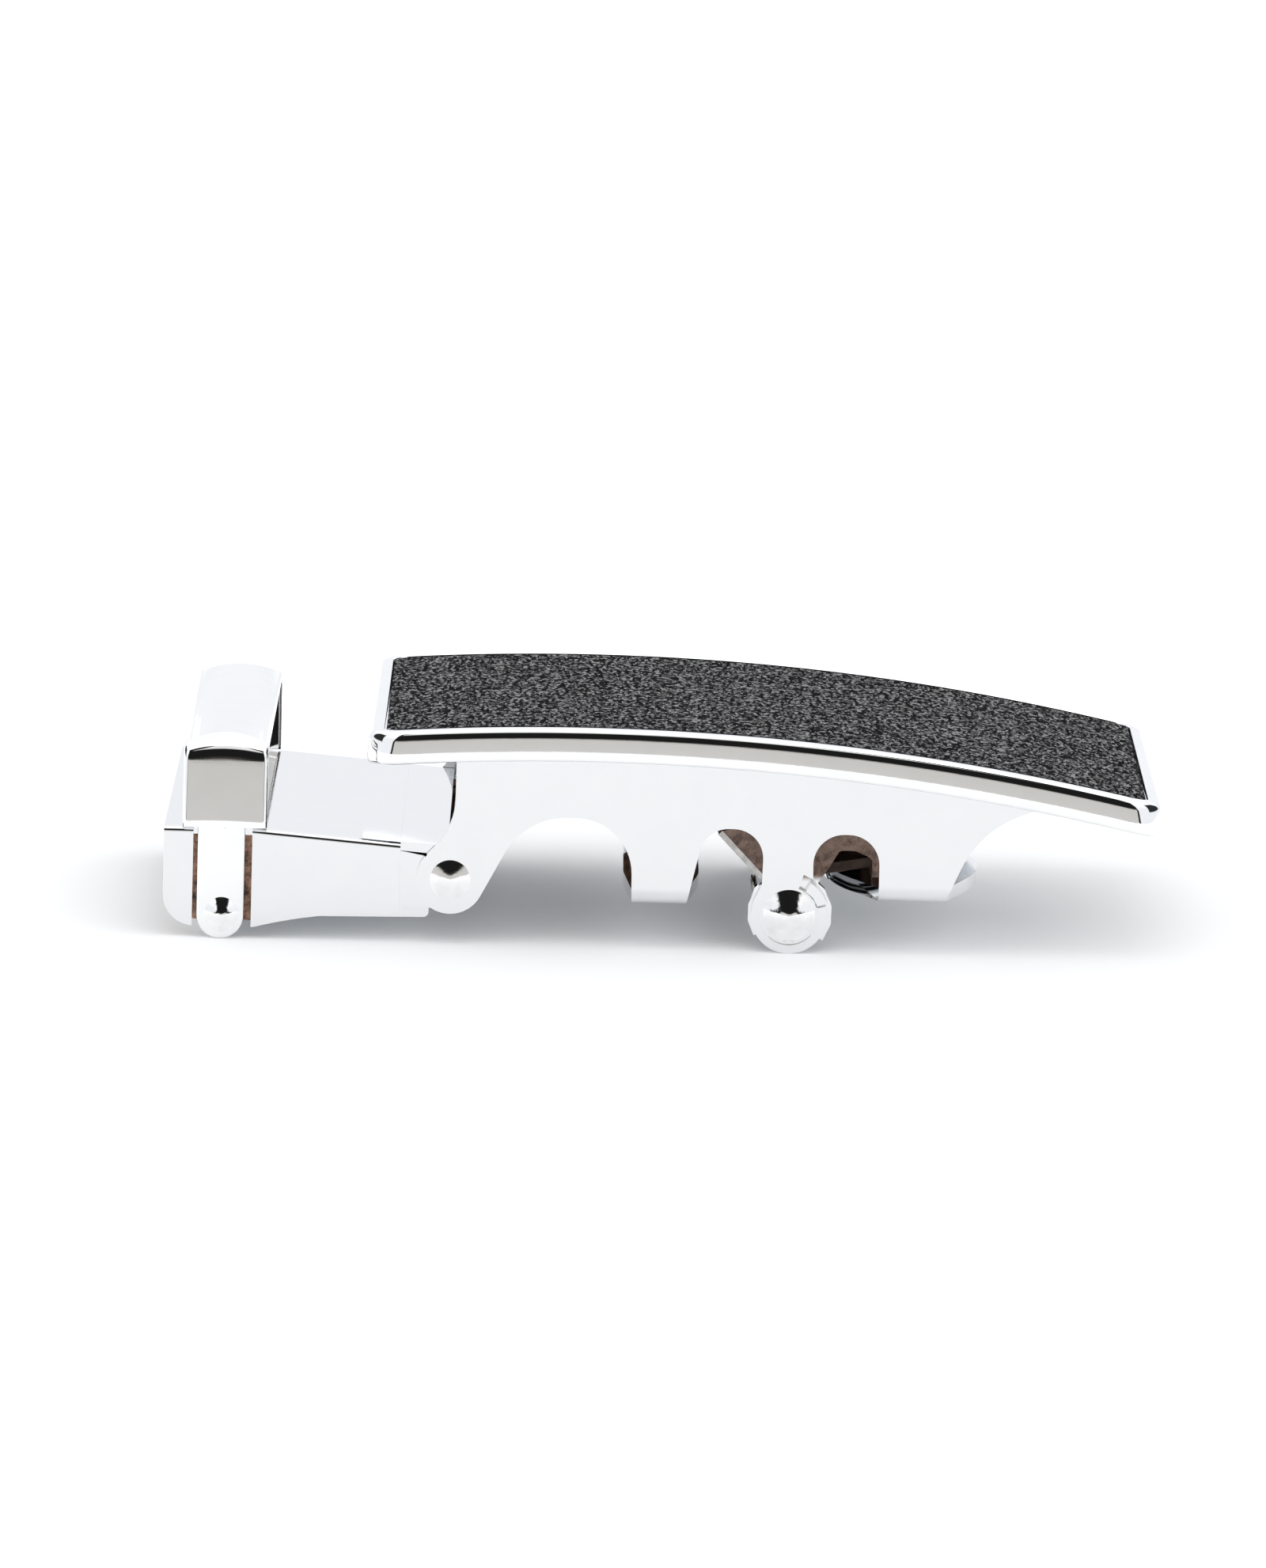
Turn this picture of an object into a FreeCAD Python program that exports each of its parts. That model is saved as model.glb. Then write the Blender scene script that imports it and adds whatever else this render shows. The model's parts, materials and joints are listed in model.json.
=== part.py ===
import FreeCAD, Part
import math
import os
import re
import Sketcher

# Ratchet belt buckle for a 35 mm strap, lying face up.  Millimetres.
# +X runs along the belt towards the buckle's free end, +Z is out through the face plate,
# and the floor that the pin ears and the keeper loop stand on is Z = 0.
# Side profiles are drawn in the XZ plane, and Y is the width of the belt.

DIMENSIONS = {
    # face plate: a slab bent to a gentle arc about an axis along Y
    "crown_x": -5.4,
    "crown_z": 17.0,
    "crown_radius": 198.0,
    "plate_left": -22.95,
    "plate_right": 38.34,
    "plate_half": 20.0,
    "plate_thick": 2.5,
    "plate_corner": 2.3,
    "plate_bevel": 0.9,
    "plate_foot": 0.5,
    "plate_rim": 1.3,
    "recess_depth": 1.0,
    # inlay: film, board and cloth in the recess
    "inlay_gap": 0.12,
    "film_thick": 0.1,
    "board_thick": 0.35,
    "fabric_thick": 0.5,
    # chassis: pressed sheet with two cheeks and inward flanges
    "sheet_thick": 1.0,
    "weld": 0.2,
    "cheek_out": 19.6,
    "web_left": -16.05,
    "web_right": 26.5,
    "heel_turn_z": 9.1,
    "heel_turn_radius": 5.5,
    "arch_left": -10.68,
    "arch_right": -2.5,
    "arch_top": 10.1,
    "arch_left_radius": 5.4,
    "arch_right_radius": 4.3,
    "front_tab_left": -2.4,
    "front_tab_right": 1.8,
    "front_tab_bottom": 3.5,
    "slot_x": 5.2,
    "slot_top": 9.57,
    "slot_radius": 2.47,
    "slot_spread": 0.4,
    "window_x": 13.97,
    "window_top": 9.35,
    "window_radius": 2.56,
    "hole_flat": 0.2,
    "neck_turn_z": 5.2,
    "neck_turn_radius": 1.2,
    "rear_tab_left": 16.55,
    "rear_tab_right": 21.6,
    "rear_tab_bottom": 4.15,
    "tail_turn_x": 24.1,
    "tail_turn_z": 9.88,
    "tail_turn_radius": 8.0,
    "tail_x": 29.0,
    "tail_z": 11.86,
    "cheek_top": 16.2,
    "flange_tip": 0.4,
    "flare_start": 0.3,
    "flare_end": 8.0,
    "flare_share": 0.06,
    "flare_turn": 1.0,
    "flare_radius": 20.0,
    "front_flange_left": -3.05,
    "front_flange_right": 2.8,
    "rear_flange_left": 12.5,
    "rear_flange_right": 24.4,
    "front_flange_corner": 2.4,
    "rear_flange_corner": 5.0,
    "bend_radius": 1.2,
    # rivets between chassis and plate
    "rivet_radius": 1.1,
    "rivet_head_radius": 1.7,
    "rivet_head_thick": 0.45,
    "rivet_bite": 0.9,
    "rivet_front_x": -12.0,
    "rivet_rear_x": 16.0,
    "rivet_y": 12.0,
    # hinge pin of the strap clamp
    "hinge_x": -16.33,
    "hinge_z": 5.02,
    "hinge_ear": 2.62,
    "hinge_radius": 1.1,
    "hinge_head_radius": 1.56,
    "hinge_head_thick": 0.35,
    "hinge_head_round": 0.3,
    # pawl pin
    "pawl_x": 9.71,
    "pawl_z": 2.92,
    "pawl_ear": 2.92,
    "pawl_pin_radius": 1.3,
    "pawl_head_radius": 2.0,
    "pawl_head_height": 0.75,
    "dome_share": 0.96,
    "recess_radius": 2.28,
    "recess_sink": 0.25,
    "notch_start": 17.0,
    "notch_end": 72.0,
    "notch_inner": 2.2,
    "notch_outer": 3.4,
    # pawl: blade, hub, side discs and stop lug
    "run_gap": 0.04,
    "side_gap": 0.1,
    "blade_angle": 134.0,
    "blade_reach": 8.4,
    "tooth_reach": 10.2,
    "blade_low": 0.2,
    "blade_high": 0.9,
    "yoke_root": 2.2,
    "yoke_reach": 8.2,
    "yoke_top": 7.1,
    "yoke_right": 7.2,
    "yoke_foot": 3.0,
    "yoke_slope": 1.6,
    "rib_low": 0.17,
    "rib_high": 0.62,
    "rib_proud": 0.04,
    "gap_left": 2.94,
    "gap_low": 3.54,
    "gap_turn": 3.79,
    "gap_top": 5.0,
    "gap_right": 6.3,
    "gap_side": 4.45,
    "tail_start": 1.2,
    "tail_low": 2.12,
    "tail_end": 6.5,
    "tail_high": 3.05,
    "tail_thick": 0.8,
    "blade_half_width": 14.0,
    "hub_radius": 1.9,
    "disc_radius": 2.7,
    "disc_thick": 0.8,
    "bump_radius": 3.35,
    "bump_start": -38.0,
    "bump_end": 62.0,
    "heel_radius": 3.2,
    "heel_start": 122.0,
    "heel_end": 214.0,
    "lug_start": 20.0,
    "lug_end": 58.0,
    "lug_inner": 2.3,
    "lug_outer": 3.08,
    # release lever through the far cheek
    "arm_x": 14.65,
    "arm_z": 6.48,
    "arm_radius": 1.15,
    "lever_thick": 0.8,
    "lever_reach": 1.1,
    "lever_rise": 1.6,
    "thumb_corner": 1.3,
    "lever_end": 23.5,
    "thumb_start": 20.7,
    "thumb_half_length": 2.9,
    "thumb_half_height": 1.5,
    "lever_rivet_radius": 0.4,
    "lever_rivet_offset": 2.62,
    "lever_rivet_angle": 33.0,
    # torsion springs on the pawl hub
    "spring_wire": 0.25,
    "spring_bend": 0.6,
    "spring_radius": 2.3,
    "spring_inner_y": 14.3,
    "spring_pitch": 0.54,
    "spring_foot_x": 10.3,
    "spring_hook_reach": 3.2,
    "spring_hook": 1.0,
    "spring_lift": 0.05,
    # strap clamp: outer cover
    "cover_left": -38.34,
    "cover_right": -20.2,
    "cover_out": 19.2,
    "cover_thick": 0.7,
    "cover_top": 8.63,
    "cover_bend_x": -31.8,
    "cover_right_top": 7.74,
    "cover_taper": 0.07,
    "cover_slot_lap": 0.2,
    "cover_bottom": 0.9,
    "cover_corner": 2.4,
    "cover_waist_x": -27.0,
    "cover_waist_z": 2.0,
    "cover_waist_radius": 36.0,
    "cover_right_bottom": 2.25,
    "cover_edge": 0.45,
    "tongue_right": -16.6,
    "tongue_right_top": 7.46,
    "tongue_rise": 0.076,
    "tongue_half": 18.45,
    "leg_slot_left": -36.08,
    "leg_slot_right": -31.56,
    # strap clamp: inner frame
    "frame_out": 18.5,
    "frame_thick": 0.8,
    "frame_web": 0.6,
    "frame_left": -37.7,
    "frame_bottom": 1.3,
    "frame_inset": 0.4,
    "frame_toe": 2.0,
    "frame_shoulder": 1.3,
    "lid_gap": 0.01,
    "lid_drop": 0.31,
    "ear_trim": 0.22,
    "frame_web_right": -18.0,
    "frame_ear": 2.4,
    "hinge_gap": 0.05,
    # keeper loop
    "loop_x": -33.7,
    "leg_x": -33.92,
    "loop_top": 15.7,
    "loop_out": 19.6,
    "loop_inner": 18.5,
    "loop_band": 1.3,
    "loop_half": 3.24,
    "loop_leg_half": 1.82,
    "loop_corner": 1.3,
    "loop_lean": 1.0,
    "loop_foot": 0.3,
    "leg_toe": 0.4,
    "leg_toe_rise": 0.42,
    "leg_toe_share": 0.75,
    "leg_round": 0.2,
    "crown_flat": 0.6,
    "crown_run": 1.9,
    "crown_drop": 0.2,
    "crown_edge": 0.8,
    "crown_lap": 0.05,
    "loop_crown_radius": 7.0,
    # clamp pin and jaw
    "clamp_pin_x": -33.8,
    "clamp_pin_z": 1.89,
    "clamp_pin_radius": 0.85,
    "clamp_head_radius": 1.35,
    "clamp_head_height": 0.55,
    "jaw_half": 17.4,
    "jaw_hub": 1.55,
    "jaw_right": -17.95,
    "jaw_bottom": 1.72,
    "jaw_bow": 0.15,
    "jaw_thick": 1.0,
    "jaw_lip": 0.7,
    "jaw_bend": 40.0,
    "jaw_lip_top": 0.8,
    "jaw_lip_foot": 1.2,
    "jaw_lip_round": 0.2,
    "tooth_x": -27.6,
    "tooth_pitch": 2.4,
    "tooth_height": 1.3,
    "tooth_sink": 0.1,
    "tooth_lean": 0.3,
    "tooth_margin": 1.5,
    "tooth_floor": 0.35,
    "tooth_half": 0.7,
    "tooth_gap": 1.4,
    "tooth_step": 3.1,
}

TEETH_GAPS = 10

doc = FreeCAD.newDocument("ratchet_belt_buckle")
sheet = doc.addObject("Spreadsheet::Sheet", "dims")
for row, (alias, size) in enumerate(DIMENSIONS.items(), start=1):
    sheet.set("A%d" % row, alias)
    sheet.set("B%d" % row, str(size))
    sheet.setAlias("B%d" % row, alias)
doc.recompute()

WORD = re.compile(r"[a-z_]+[a-z0-9_]*")


def number(text):
    """The value of an expression written with the sheet's aliases."""
    return float(sheet.evalExpression(text))


def bind(item, path, text):
    """Bind a property to an expression written with the sheet's aliases."""
    full = WORD.sub(lambda m: "dims." + m.group() if m.group() in DIMENSIONS else m.group(), text)
    item.setExpression(path, full)


# ---------------------------------------------------------------- sketches

def base_plane(body, role):
    return next(f for f in body.Origin.OriginFeatures if f.Role == role)


def new_body(label):
    body = doc.addObject("PartDesign::Body", label)
    body.Label = label
    bind(body, "Placement.Base.y", MIDDLE)
    return body


def new_sketch(body, name, role="XZ_Plane", offset="0", shift="0"):
    """A sketch on a base plane of its body, moved along the normal and along its own X."""
    sketch = body.newObject("Sketcher::SketchObject", name)
    sketch.AttachmentSupport = (base_plane(body, role), [""])
    sketch.MapMode = "FlatFace"
    bind(sketch, "AttachmentOffset.Base.z", offset)
    bind(sketch, "AttachmentOffset.Base.x", shift)
    return sketch


def measure(sketch, kind, text, *where):
    """A dimension that follows the sheet."""
    index = sketch.addConstraint(Sketcher.Constraint(kind, *where, number(text)))
    bind(sketch, "Constraints[%d]" % index, text)


def pin_point(sketch, geometry, end, x, y):
    measure(sketch, "DistanceX", x, -1, 1, geometry, end)
    measure(sketch, "DistanceY", y, -1, 1, geometry, end)


def circle(sketch, x, y, radius):
    centre = FreeCAD.Vector(number(x), number(y), 0)
    shape = Part.Circle(centre, FreeCAD.Vector(0, 0, 1), number(radius))
    index = sketch.addGeometry(shape, False)
    pin_point(sketch, index, 3, x, y)
    measure(sketch, "Radius", radius, index)


def outline(sketch, corners):
    """A closed outline through (x, y) or (x, y, radius) corners, rounded where a radius is given."""
    points = [FreeCAD.Vector(number(c[0]), number(c[1]), 0) for c in corners]
    radii = [number(c[2]) if len(c) > 2 else 0.0 for c in corners]
    count = len(corners)
    starts, ends, arcs = [], [], []
    for i in range(count):
        back = (points[i - 1] - points[i]).normalize()
        ahead = (points[(i + 1) % count] - points[i]).normalize()
        if radii[i] == 0.0:
            starts.append(points[i])
            ends.append(points[i])
            arcs.append(None)
            continue
        half = back.getAngle(ahead) / 2
        starts.append(points[i] + back * (radii[i] / math.tan(half)))
        ends.append(points[i] + ahead * (radii[i] / math.tan(half)))
        centre = points[i] + (back + ahead).normalize() * (radii[i] / math.sin(half))
        left_turn = ahead.cross(back).z > 0
        first, last = (starts[i], ends[i]) if left_turn else (ends[i], starts[i])
        full = Part.Circle(centre, FreeCAD.Vector(0, 0, 1), radii[i])
        angles = [math.atan2(p.y - centre.y, p.x - centre.x) for p in (first, last)]
        arc = sketch.addGeometry(Part.ArcOfCircle(full, angles[0], angles[1]), False)
        arcs.append((arc, 1 if left_turn else 2, 2 if left_turn else 1))
    lines = []
    for i in range(count):
        segment = Part.LineSegment(ends[i], starts[(i + 1) % count])
        lines.append(sketch.addGeometry(segment, False))
    for i in range(count):
        before, after = lines[i - 1], lines[i]
        if arcs[i] is None:
            sketch.addConstraint(Sketcher.Constraint("Coincident", before, 2, after, 1))
            pin_point(sketch, after, 1, corners[i][0], corners[i][1])
            continue
        arc, first_end, last_end = arcs[i]
        sketch.addConstraint(Sketcher.Constraint("Tangent", before, 2, arc, first_end))
        sketch.addConstraint(Sketcher.Constraint("Tangent", arc, last_end, after, 1))
        measure(sketch, "Radius", corners[i][2], arc)
        corner = sketch.addGeometry(Part.Point(points[i]), True)
        sketch.addConstraint(Sketcher.Constraint("PointOnObject", corner, 1, before))
        sketch.addConstraint(Sketcher.Constraint("PointOnObject", corner, 1, after))
        pin_point(sketch, corner, 1, corners[i][0], corners[i][1])


def arc_height(radius, x):
    """Height at x of the arc of that radius about the face plate's axis."""
    return "crown_z - crown_radius + sqrt((%s)^2 - (%s - crown_x)^2)" % (radius, x)


def band(sketch, outer, inner, left, right):
    """A slice between two arcs about the face plate's axis, with upright ends."""
    centre = FreeCAD.Vector(number("crown_x"), number("crown_z - crown_radius"), 0)
    corner = {}
    arcs = []
    for radius in (outer, inner):
        for x in (right, left):
            corner[radius, x] = FreeCAD.Vector(number(x), number(arc_height(radius, x)), 0)
        full = Part.Circle(centre, FreeCAD.Vector(0, 0, 1), number(radius))
        angles = [math.atan2(corner[radius, x].y - centre.y, corner[radius, x].x - centre.x)
                  for x in (right, left)]
        arcs.append(sketch.addGeometry(Part.ArcOfCircle(full, angles[0], angles[1]), False))
    pin_point(sketch, arcs[0], 3, "crown_x", "crown_z - crown_radius")
    sketch.addConstraint(Sketcher.Constraint("Coincident", arcs[0], 3, arcs[1], 3))
    measure(sketch, "Radius", outer, arcs[0])
    measure(sketch, "Radius", inner, arcs[1])
    for end, x in ((1, right), (2, left)):
        side = sketch.addGeometry(Part.LineSegment(corner[outer, x], corner[inner, x]), False)
        sketch.addConstraint(Sketcher.Constraint("Coincident", side, 1, arcs[0], end))
        sketch.addConstraint(Sketcher.Constraint("Coincident", side, 2, arcs[1], end))
        sketch.addConstraint(Sketcher.Constraint("Vertical", side))
        measure(sketch, "DistanceX", x, -1, 1, side, 1)


# ---------------------------------------------------------------- features

def pad(body, sketch, length, side="Symmetric", reverse=False):
    feature = body.newObject("PartDesign::Pad", sketch.Name + "_pad")
    feature.Profile = sketch
    feature.SideType = side
    feature.Reversed = reverse
    bind(feature, "Length", length)
    doc.recompute()
    return feature


def pocket(body, sketch, length, side="Symmetric", reverse=False):
    before = body.Shape.Volume
    feature = body.newObject("PartDesign::Pocket", sketch.Name + "_pocket")
    feature.Profile = sketch
    feature.SideType = side
    feature.Reversed = reverse
    bind(feature, "Length", length)
    doc.recompute()
    if not feature.Shape.Volume < before - 1e-6:
        raise ValueError(sketch.Name + " cuts nothing")
    return feature


def on_sides(body, name, inner, thickness, draw, sides=("near", "far"), make=pad):
    """The same drawing on the near side (-Y) and the far side (+Y), from inner outwards."""
    for side in sides:
        near = side == "near"
        sketch = new_sketch(body, side + "_" + name, offset=inner if near else "-(%s)" % inner)
        draw(sketch)
        outwards = near if make is pad else not near
        make(body, sketch, thickness, side="One side", reverse=not outwards)


def round_edges(body, name, chosen, radius):
    """Round every edge of the body for which chosen(edge) is true."""
    doc.recompute()
    base = body.Tip
    names = ["Edge%d" % i for i, edge in enumerate(base.Shape.Edges, start=1) if chosen(edge)]
    feature = body.newObject("PartDesign::Fillet", name)
    feature.Base = (base, names)
    bind(feature, "Radius", radius)
    doc.recompute()
    return feature


def revolve(body, sketch):
    feature = body.newObject("PartDesign::Revolution", sketch.Name + "_turn")
    feature.Profile = sketch
    feature.ReferenceAxis = (sketch, ["V_Axis"])
    feature.Angle = 360
    doc.recompute()
    return feature


def near_to(value, target):
    return abs(value - target) < 0.01


def all_points(edge, test):
    """True where test holds at both ends and the middle of an edge."""
    first, last = edge.ParameterRange
    return all(test(edge.valueAt(t)) for t in (first, (first + last) / 2, last))


def from_crown(point):
    """Distance of a point from the face plate's axis."""
    drop = point.z - number("crown_z - crown_radius")
    return math.hypot(point.x - number("crown_x"), drop)


MIDDLE = "-(lever_end - cheek_out - clamp_head_height) / 2"
UNDER = "crown_radius - plate_thick"
CHEEK_IN = "cheek_out - sheet_thick"


# ---------------------------------------------------------------- face plate and inlay

def make_face_plate():
    body = new_body("face_plate")
    slab = new_sketch(body, "plate_slab")
    band(slab, "crown_radius", UNDER, "plate_left", "plate_right")
    pad(body, slab, "2 * plate_half")
    half = number("plate_half")

    def upright_corner(edge):
        return all_points(edge, lambda p: near_to(abs(p.y), half)) and \
            near_to(edge.BoundBox.XLength, 0)

    round_edges(body, "plate_corners", upright_corner, "plate_corner")
    top, bottom = number("crown_radius"), number(UNDER)
    round_edges(body, "plate_shoulder",
                lambda e: all_points(e, lambda p: near_to(from_crown(p), top)), "plate_bevel")
    round_edges(body, "plate_foot_round",
                lambda e: all_points(e, lambda p: near_to(from_crown(p), bottom)), "plate_foot")
    recess = new_sketch(body, "plate_recess")
    band(recess, "crown_radius + recess_depth", "crown_radius - recess_depth",
         "plate_left + plate_rim", "plate_right - plate_rim")
    pocket(body, recess, "2 * (plate_half - plate_rim)")
    for place in ("front", "rear"):
        x = "rivet_%s_x" % place
        holes = new_sketch(body, "plate_%s_rivet_holes" % place, "XY_Plane", arc_height(UNDER, x))
        for y in ("-rivet_y", "rivet_y"):
            circle(holes, x, y, "rivet_radius")
        pocket(body, holes, "2 * rivet_bite")


def make_inlay():
    layers = (("adhesive_film", "film_thick"), ("inlay_board", "board_thick"),
              ("inlay_fabric", "fabric_thick"))
    inner = "crown_radius - recess_depth"
    for label, thickness in layers:
        body = new_body(label)
        outer = inner + " + " + thickness
        layer = new_sketch(body, label + "_slab")
        band(layer, outer, inner, "plate_left + plate_rim + inlay_gap",
             "plate_right - plate_rim - inlay_gap")
        pad(body, layer, "2 * (plate_half - plate_rim - inlay_gap)")
        inner = outer


# ---------------------------------------------------------------- chassis

def draw_cheek(sketch):
    outline(sketch, [
        ("web_left", "cheek_top"),
        ("web_left", "heel_turn_z", "heel_turn_radius"),
        ("hinge_x - hinge_ear * cos(44)", "hinge_z + hinge_ear * sin(44)"),
        ("hinge_x", "hinge_z"),
        ("hinge_x + hinge_ear * cos(28)", "hinge_z - hinge_ear * sin(28)"),
        ("arch_left", "arch_top", "arch_left_radius"),
        ("arch_right", "arch_top", "arch_right_radius"),
        ("front_tab_left", "front_tab_bottom"),
        ("front_tab_right", "front_tab_bottom"),
        ("slot_x - slot_radius + slot_spread", "slot_top", "slot_radius - hole_flat"),
        ("slot_x + slot_radius", "slot_top", "slot_radius - hole_flat"),
        ("slot_x + slot_radius - 0.1", "neck_turn_z", "neck_turn_radius"),
        ("pawl_x - pawl_ear * cos(24)", "pawl_z + pawl_ear * sin(24)"),
        ("pawl_x", "pawl_z"),
        ("pawl_x + pawl_ear * cos(24)", "pawl_z + pawl_ear * sin(24)"),
        ("window_x - window_radius + 0.1", "neck_turn_z", "neck_turn_radius"),
        ("window_x - window_radius", "window_top", "window_radius - hole_flat"),
        ("window_x + window_radius", "window_top", "window_radius - hole_flat"),
        ("rear_tab_left", "rear_tab_bottom"),
        ("rear_tab_right", "rear_tab_bottom"),
        ("tail_turn_x", "tail_turn_z", "tail_turn_radius"),
        ("tail_x", "tail_z"),
        ("tail_x", "cheek_top"),
    ])


def draw_ears(sketch):
    circle(sketch, "hinge_x", "hinge_z", "hinge_ear")
    circle(sketch, "pawl_x", "pawl_z", "pawl_ear")


def draw_pin_holes(sketch):
    circle(sketch, "hinge_x", "hinge_z", "hinge_radius")
    circle(sketch, "pawl_x", "pawl_z", "pawl_pin_radius")


def polar(radius, angle):
    """A corner given by its distance and direction from the pawl pin."""
    return ("pawl_x + (%s) * cos(%s)" % (radius, angle), "pawl_z + (%s) * sin(%s)" % (radius, angle))


def draw_sector(sketch, inner, outer, start, end):
    """A sector about the pawl pin, its two curved edges in four straight steps each."""
    steps = ["(%s) + %d / 4 * ((%s) - (%s))" % (start, i, end, start) for i in range(5)]
    outline(sketch, [polar(outer, a) for a in steps] + [polar(inner, a) for a in reversed(steps)])


def flare(tab, side):
    """Where the edge of a flange starts to run out wider than the foot it is bent from."""
    return "{0}_tab_{1} + flare_share * ({0}_flange_{1} - {0}_tab_{1})".format(tab, side)


def add_flanges(body, name, tab, bottom):
    """Two flanges, bent in from the feet of the cheeks and flared once they are inside."""
    flanges = new_sketch(body, name, "XY_Plane", bottom)
    for sign in ("-", ""):
        outline(flanges, [
            (tab + "_tab_left", sign + "(%s + weld)" % CHEEK_IN),
            (flare(tab, "left"), sign + "(%s - flare_start)" % CHEEK_IN, "flare_turn"),
            (tab + "_flange_left", sign + "(%s - flare_end)" % CHEEK_IN, "flare_radius"),
            (tab + "_flange_left", sign + "flange_tip", tab + "_flange_corner"),
            (tab + "_flange_right", sign + "flange_tip", tab + "_flange_corner"),
            (tab + "_flange_right", sign + "(%s - flare_end)" % CHEEK_IN, "flare_radius"),
            (flare(tab, "right"), sign + "(%s - flare_start)" % CHEEK_IN, "flare_turn"),
            (tab + "_tab_right", sign + "(%s + weld)" % CHEEK_IN),
        ])
    pad(body, flanges, "sheet_thick", side="One side")


def make_chassis():
    body = new_body("chassis")
    web = new_sketch(body, "chassis_web")
    band(web, UNDER, UNDER + " - sheet_thick", "web_left", "web_right")
    pad(body, web, "2 * cheek_out")
    on_sides(body, "cheek", CHEEK_IN, "sheet_thick", draw_cheek)
    on_sides(body, "ears", CHEEK_IN, "sheet_thick", draw_ears)
    trim = new_sketch(body, "plate_seat")
    band(trim, UNDER + " + 6", UNDER, "web_left - 4", "tail_x + 4")
    pocket(body, trim, "2 * cheek_out + 2")
    for tab in ("front", "rear"):
        add_flanges(body, tab + "_flanges", tab, tab + "_tab_bottom")
    out = number("cheek_out")
    feet = (number("front_tab_bottom"), number("rear_tab_bottom"))

    def foot(edge):
        return all_points(edge, lambda p: near_to(abs(p.y), out)
                          and any(near_to(p.z, z) for z in feet))

    round_edges(body, "flange_bends", foot, "bend_radius")
    holes = new_sketch(body, "pin_holes")
    draw_pin_holes(holes)
    pocket(body, holes, "2 * cheek_out + 2")
    on_sides(body, "pin_recess", "cheek_out - recess_sink", "1",
             lambda s: circle(s, "pawl_x", "pawl_z", "recess_radius"), make=pocket)
    on_sides(body, "notch", CHEEK_IN + " - weld", "2 * sheet_thick",
             lambda s: draw_sector(s, "notch_inner", "notch_outer", "notch_start", "notch_end"),
             sides=("near",), make=pocket)
    rivet_holes = new_sketch(body, "web_rivet_holes", "XY_Plane", "crown_z - 4")
    for x in ("rivet_front_x", "rivet_rear_x"):
        for y in ("-rivet_y", "rivet_y"):
            circle(rivet_holes, x, y, "rivet_radius")
    pocket(body, rivet_holes, "10")


def make_rivets():
    """Four rivets: a shank into the plate and a low head under the web."""
    solids = []
    for place, lower in (("front", "-"), ("rear", "+")):
        x = "rivet_%s_x" % place
        seat = arc_height(UNDER + " - sheet_thick", "(%s %s rivet_head_radius)" % (x, lower))
        for side, y in (("near", "-rivet_y"), ("far", "rivet_y")):
            shank = doc.addObject("Part::Cylinder", "%s_%s_shank" % (place, side))
            head = doc.addObject("Part::Cylinder", "%s_%s_head" % (place, side))
            bind(shank, "Radius", "rivet_radius")
            bind(head, "Radius", "rivet_head_radius")
            bind(head, "Height", "rivet_head_thick")
            bind(shank, "Height", "%s + rivet_bite - (%s) + rivet_head_thick"
                 % (arc_height(UNDER, x), seat))
            for cylinder in (shank, head):
                bind(cylinder, "Placement.Base.x", x)
                bind(cylinder, "Placement.Base.y", y)
                bind(cylinder, "Placement.Base.z", "%s - rivet_head_thick" % seat)
            whole = doc.addObject("Part::MultiFuse", "%s_%s_rivet" % (place, side))
            whole.Shapes = [shank, head]
            solids.append(whole)
    group = doc.addObject("Part::Compound", "chassis_rivets")
    group.Label = "chassis_rivets"
    group.Links = solids
    bind(group, "Placement.Base.y", MIDDLE)


# ---------------------------------------------------------------- pins

def make_pin(label, x, z, radius, reach, head):
    """A pin along Y, turned about its axis; head lists the corners outside the shank."""
    body = new_body(label)
    half = new_sketch(body, label + "_profile", "XY_Plane", z, x)
    far = [(c[0], "%s + (%s)" % (reach, c[1])) + c[2:] for c in head]
    near = [(c[0], "-(%s) - (%s)" % (reach, c[1])) + c[2:] for c in reversed(head)]
    outline(half, near + [(radius, "-(%s)" % reach), (radius, reach)] + far)
    revolve(body, half)


def dome(radius, height):
    """Corners of a domed head, from its rim to the axis."""
    ball = "((%s)^2 + (%s)^2) / (2 * (%s))" % (radius, height, height)
    lean = "asin((%s) / (%s)) / 2" % (radius, ball)
    return [(radius, "0"), ("(%s) * tan(%s)" % (ball, lean), height, "dome_share * (%s)" % ball),
            ("0", height)]


def make_pins():
    flat_head = [("hinge_head_radius", "0"),
                 ("hinge_head_radius", "hinge_head_thick", "hinge_head_round"),
                 ("0", "hinge_head_thick")]
    make_pin("hinge_pin", "hinge_x", "hinge_z", "hinge_radius", "cheek_out", flat_head)
    make_pin("pawl_pin", "pawl_x", "pawl_z", "pawl_pin_radius", "cheek_out - recess_sink",
             dome("pawl_head_radius", "pawl_head_height"))
    make_pin("clamp_pin", "clamp_pin_x", "clamp_pin_z", "clamp_pin_radius", "loop_out",
             dome("clamp_head_radius", "clamp_head_height"))


# ---------------------------------------------------------------- strap clamp

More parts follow.
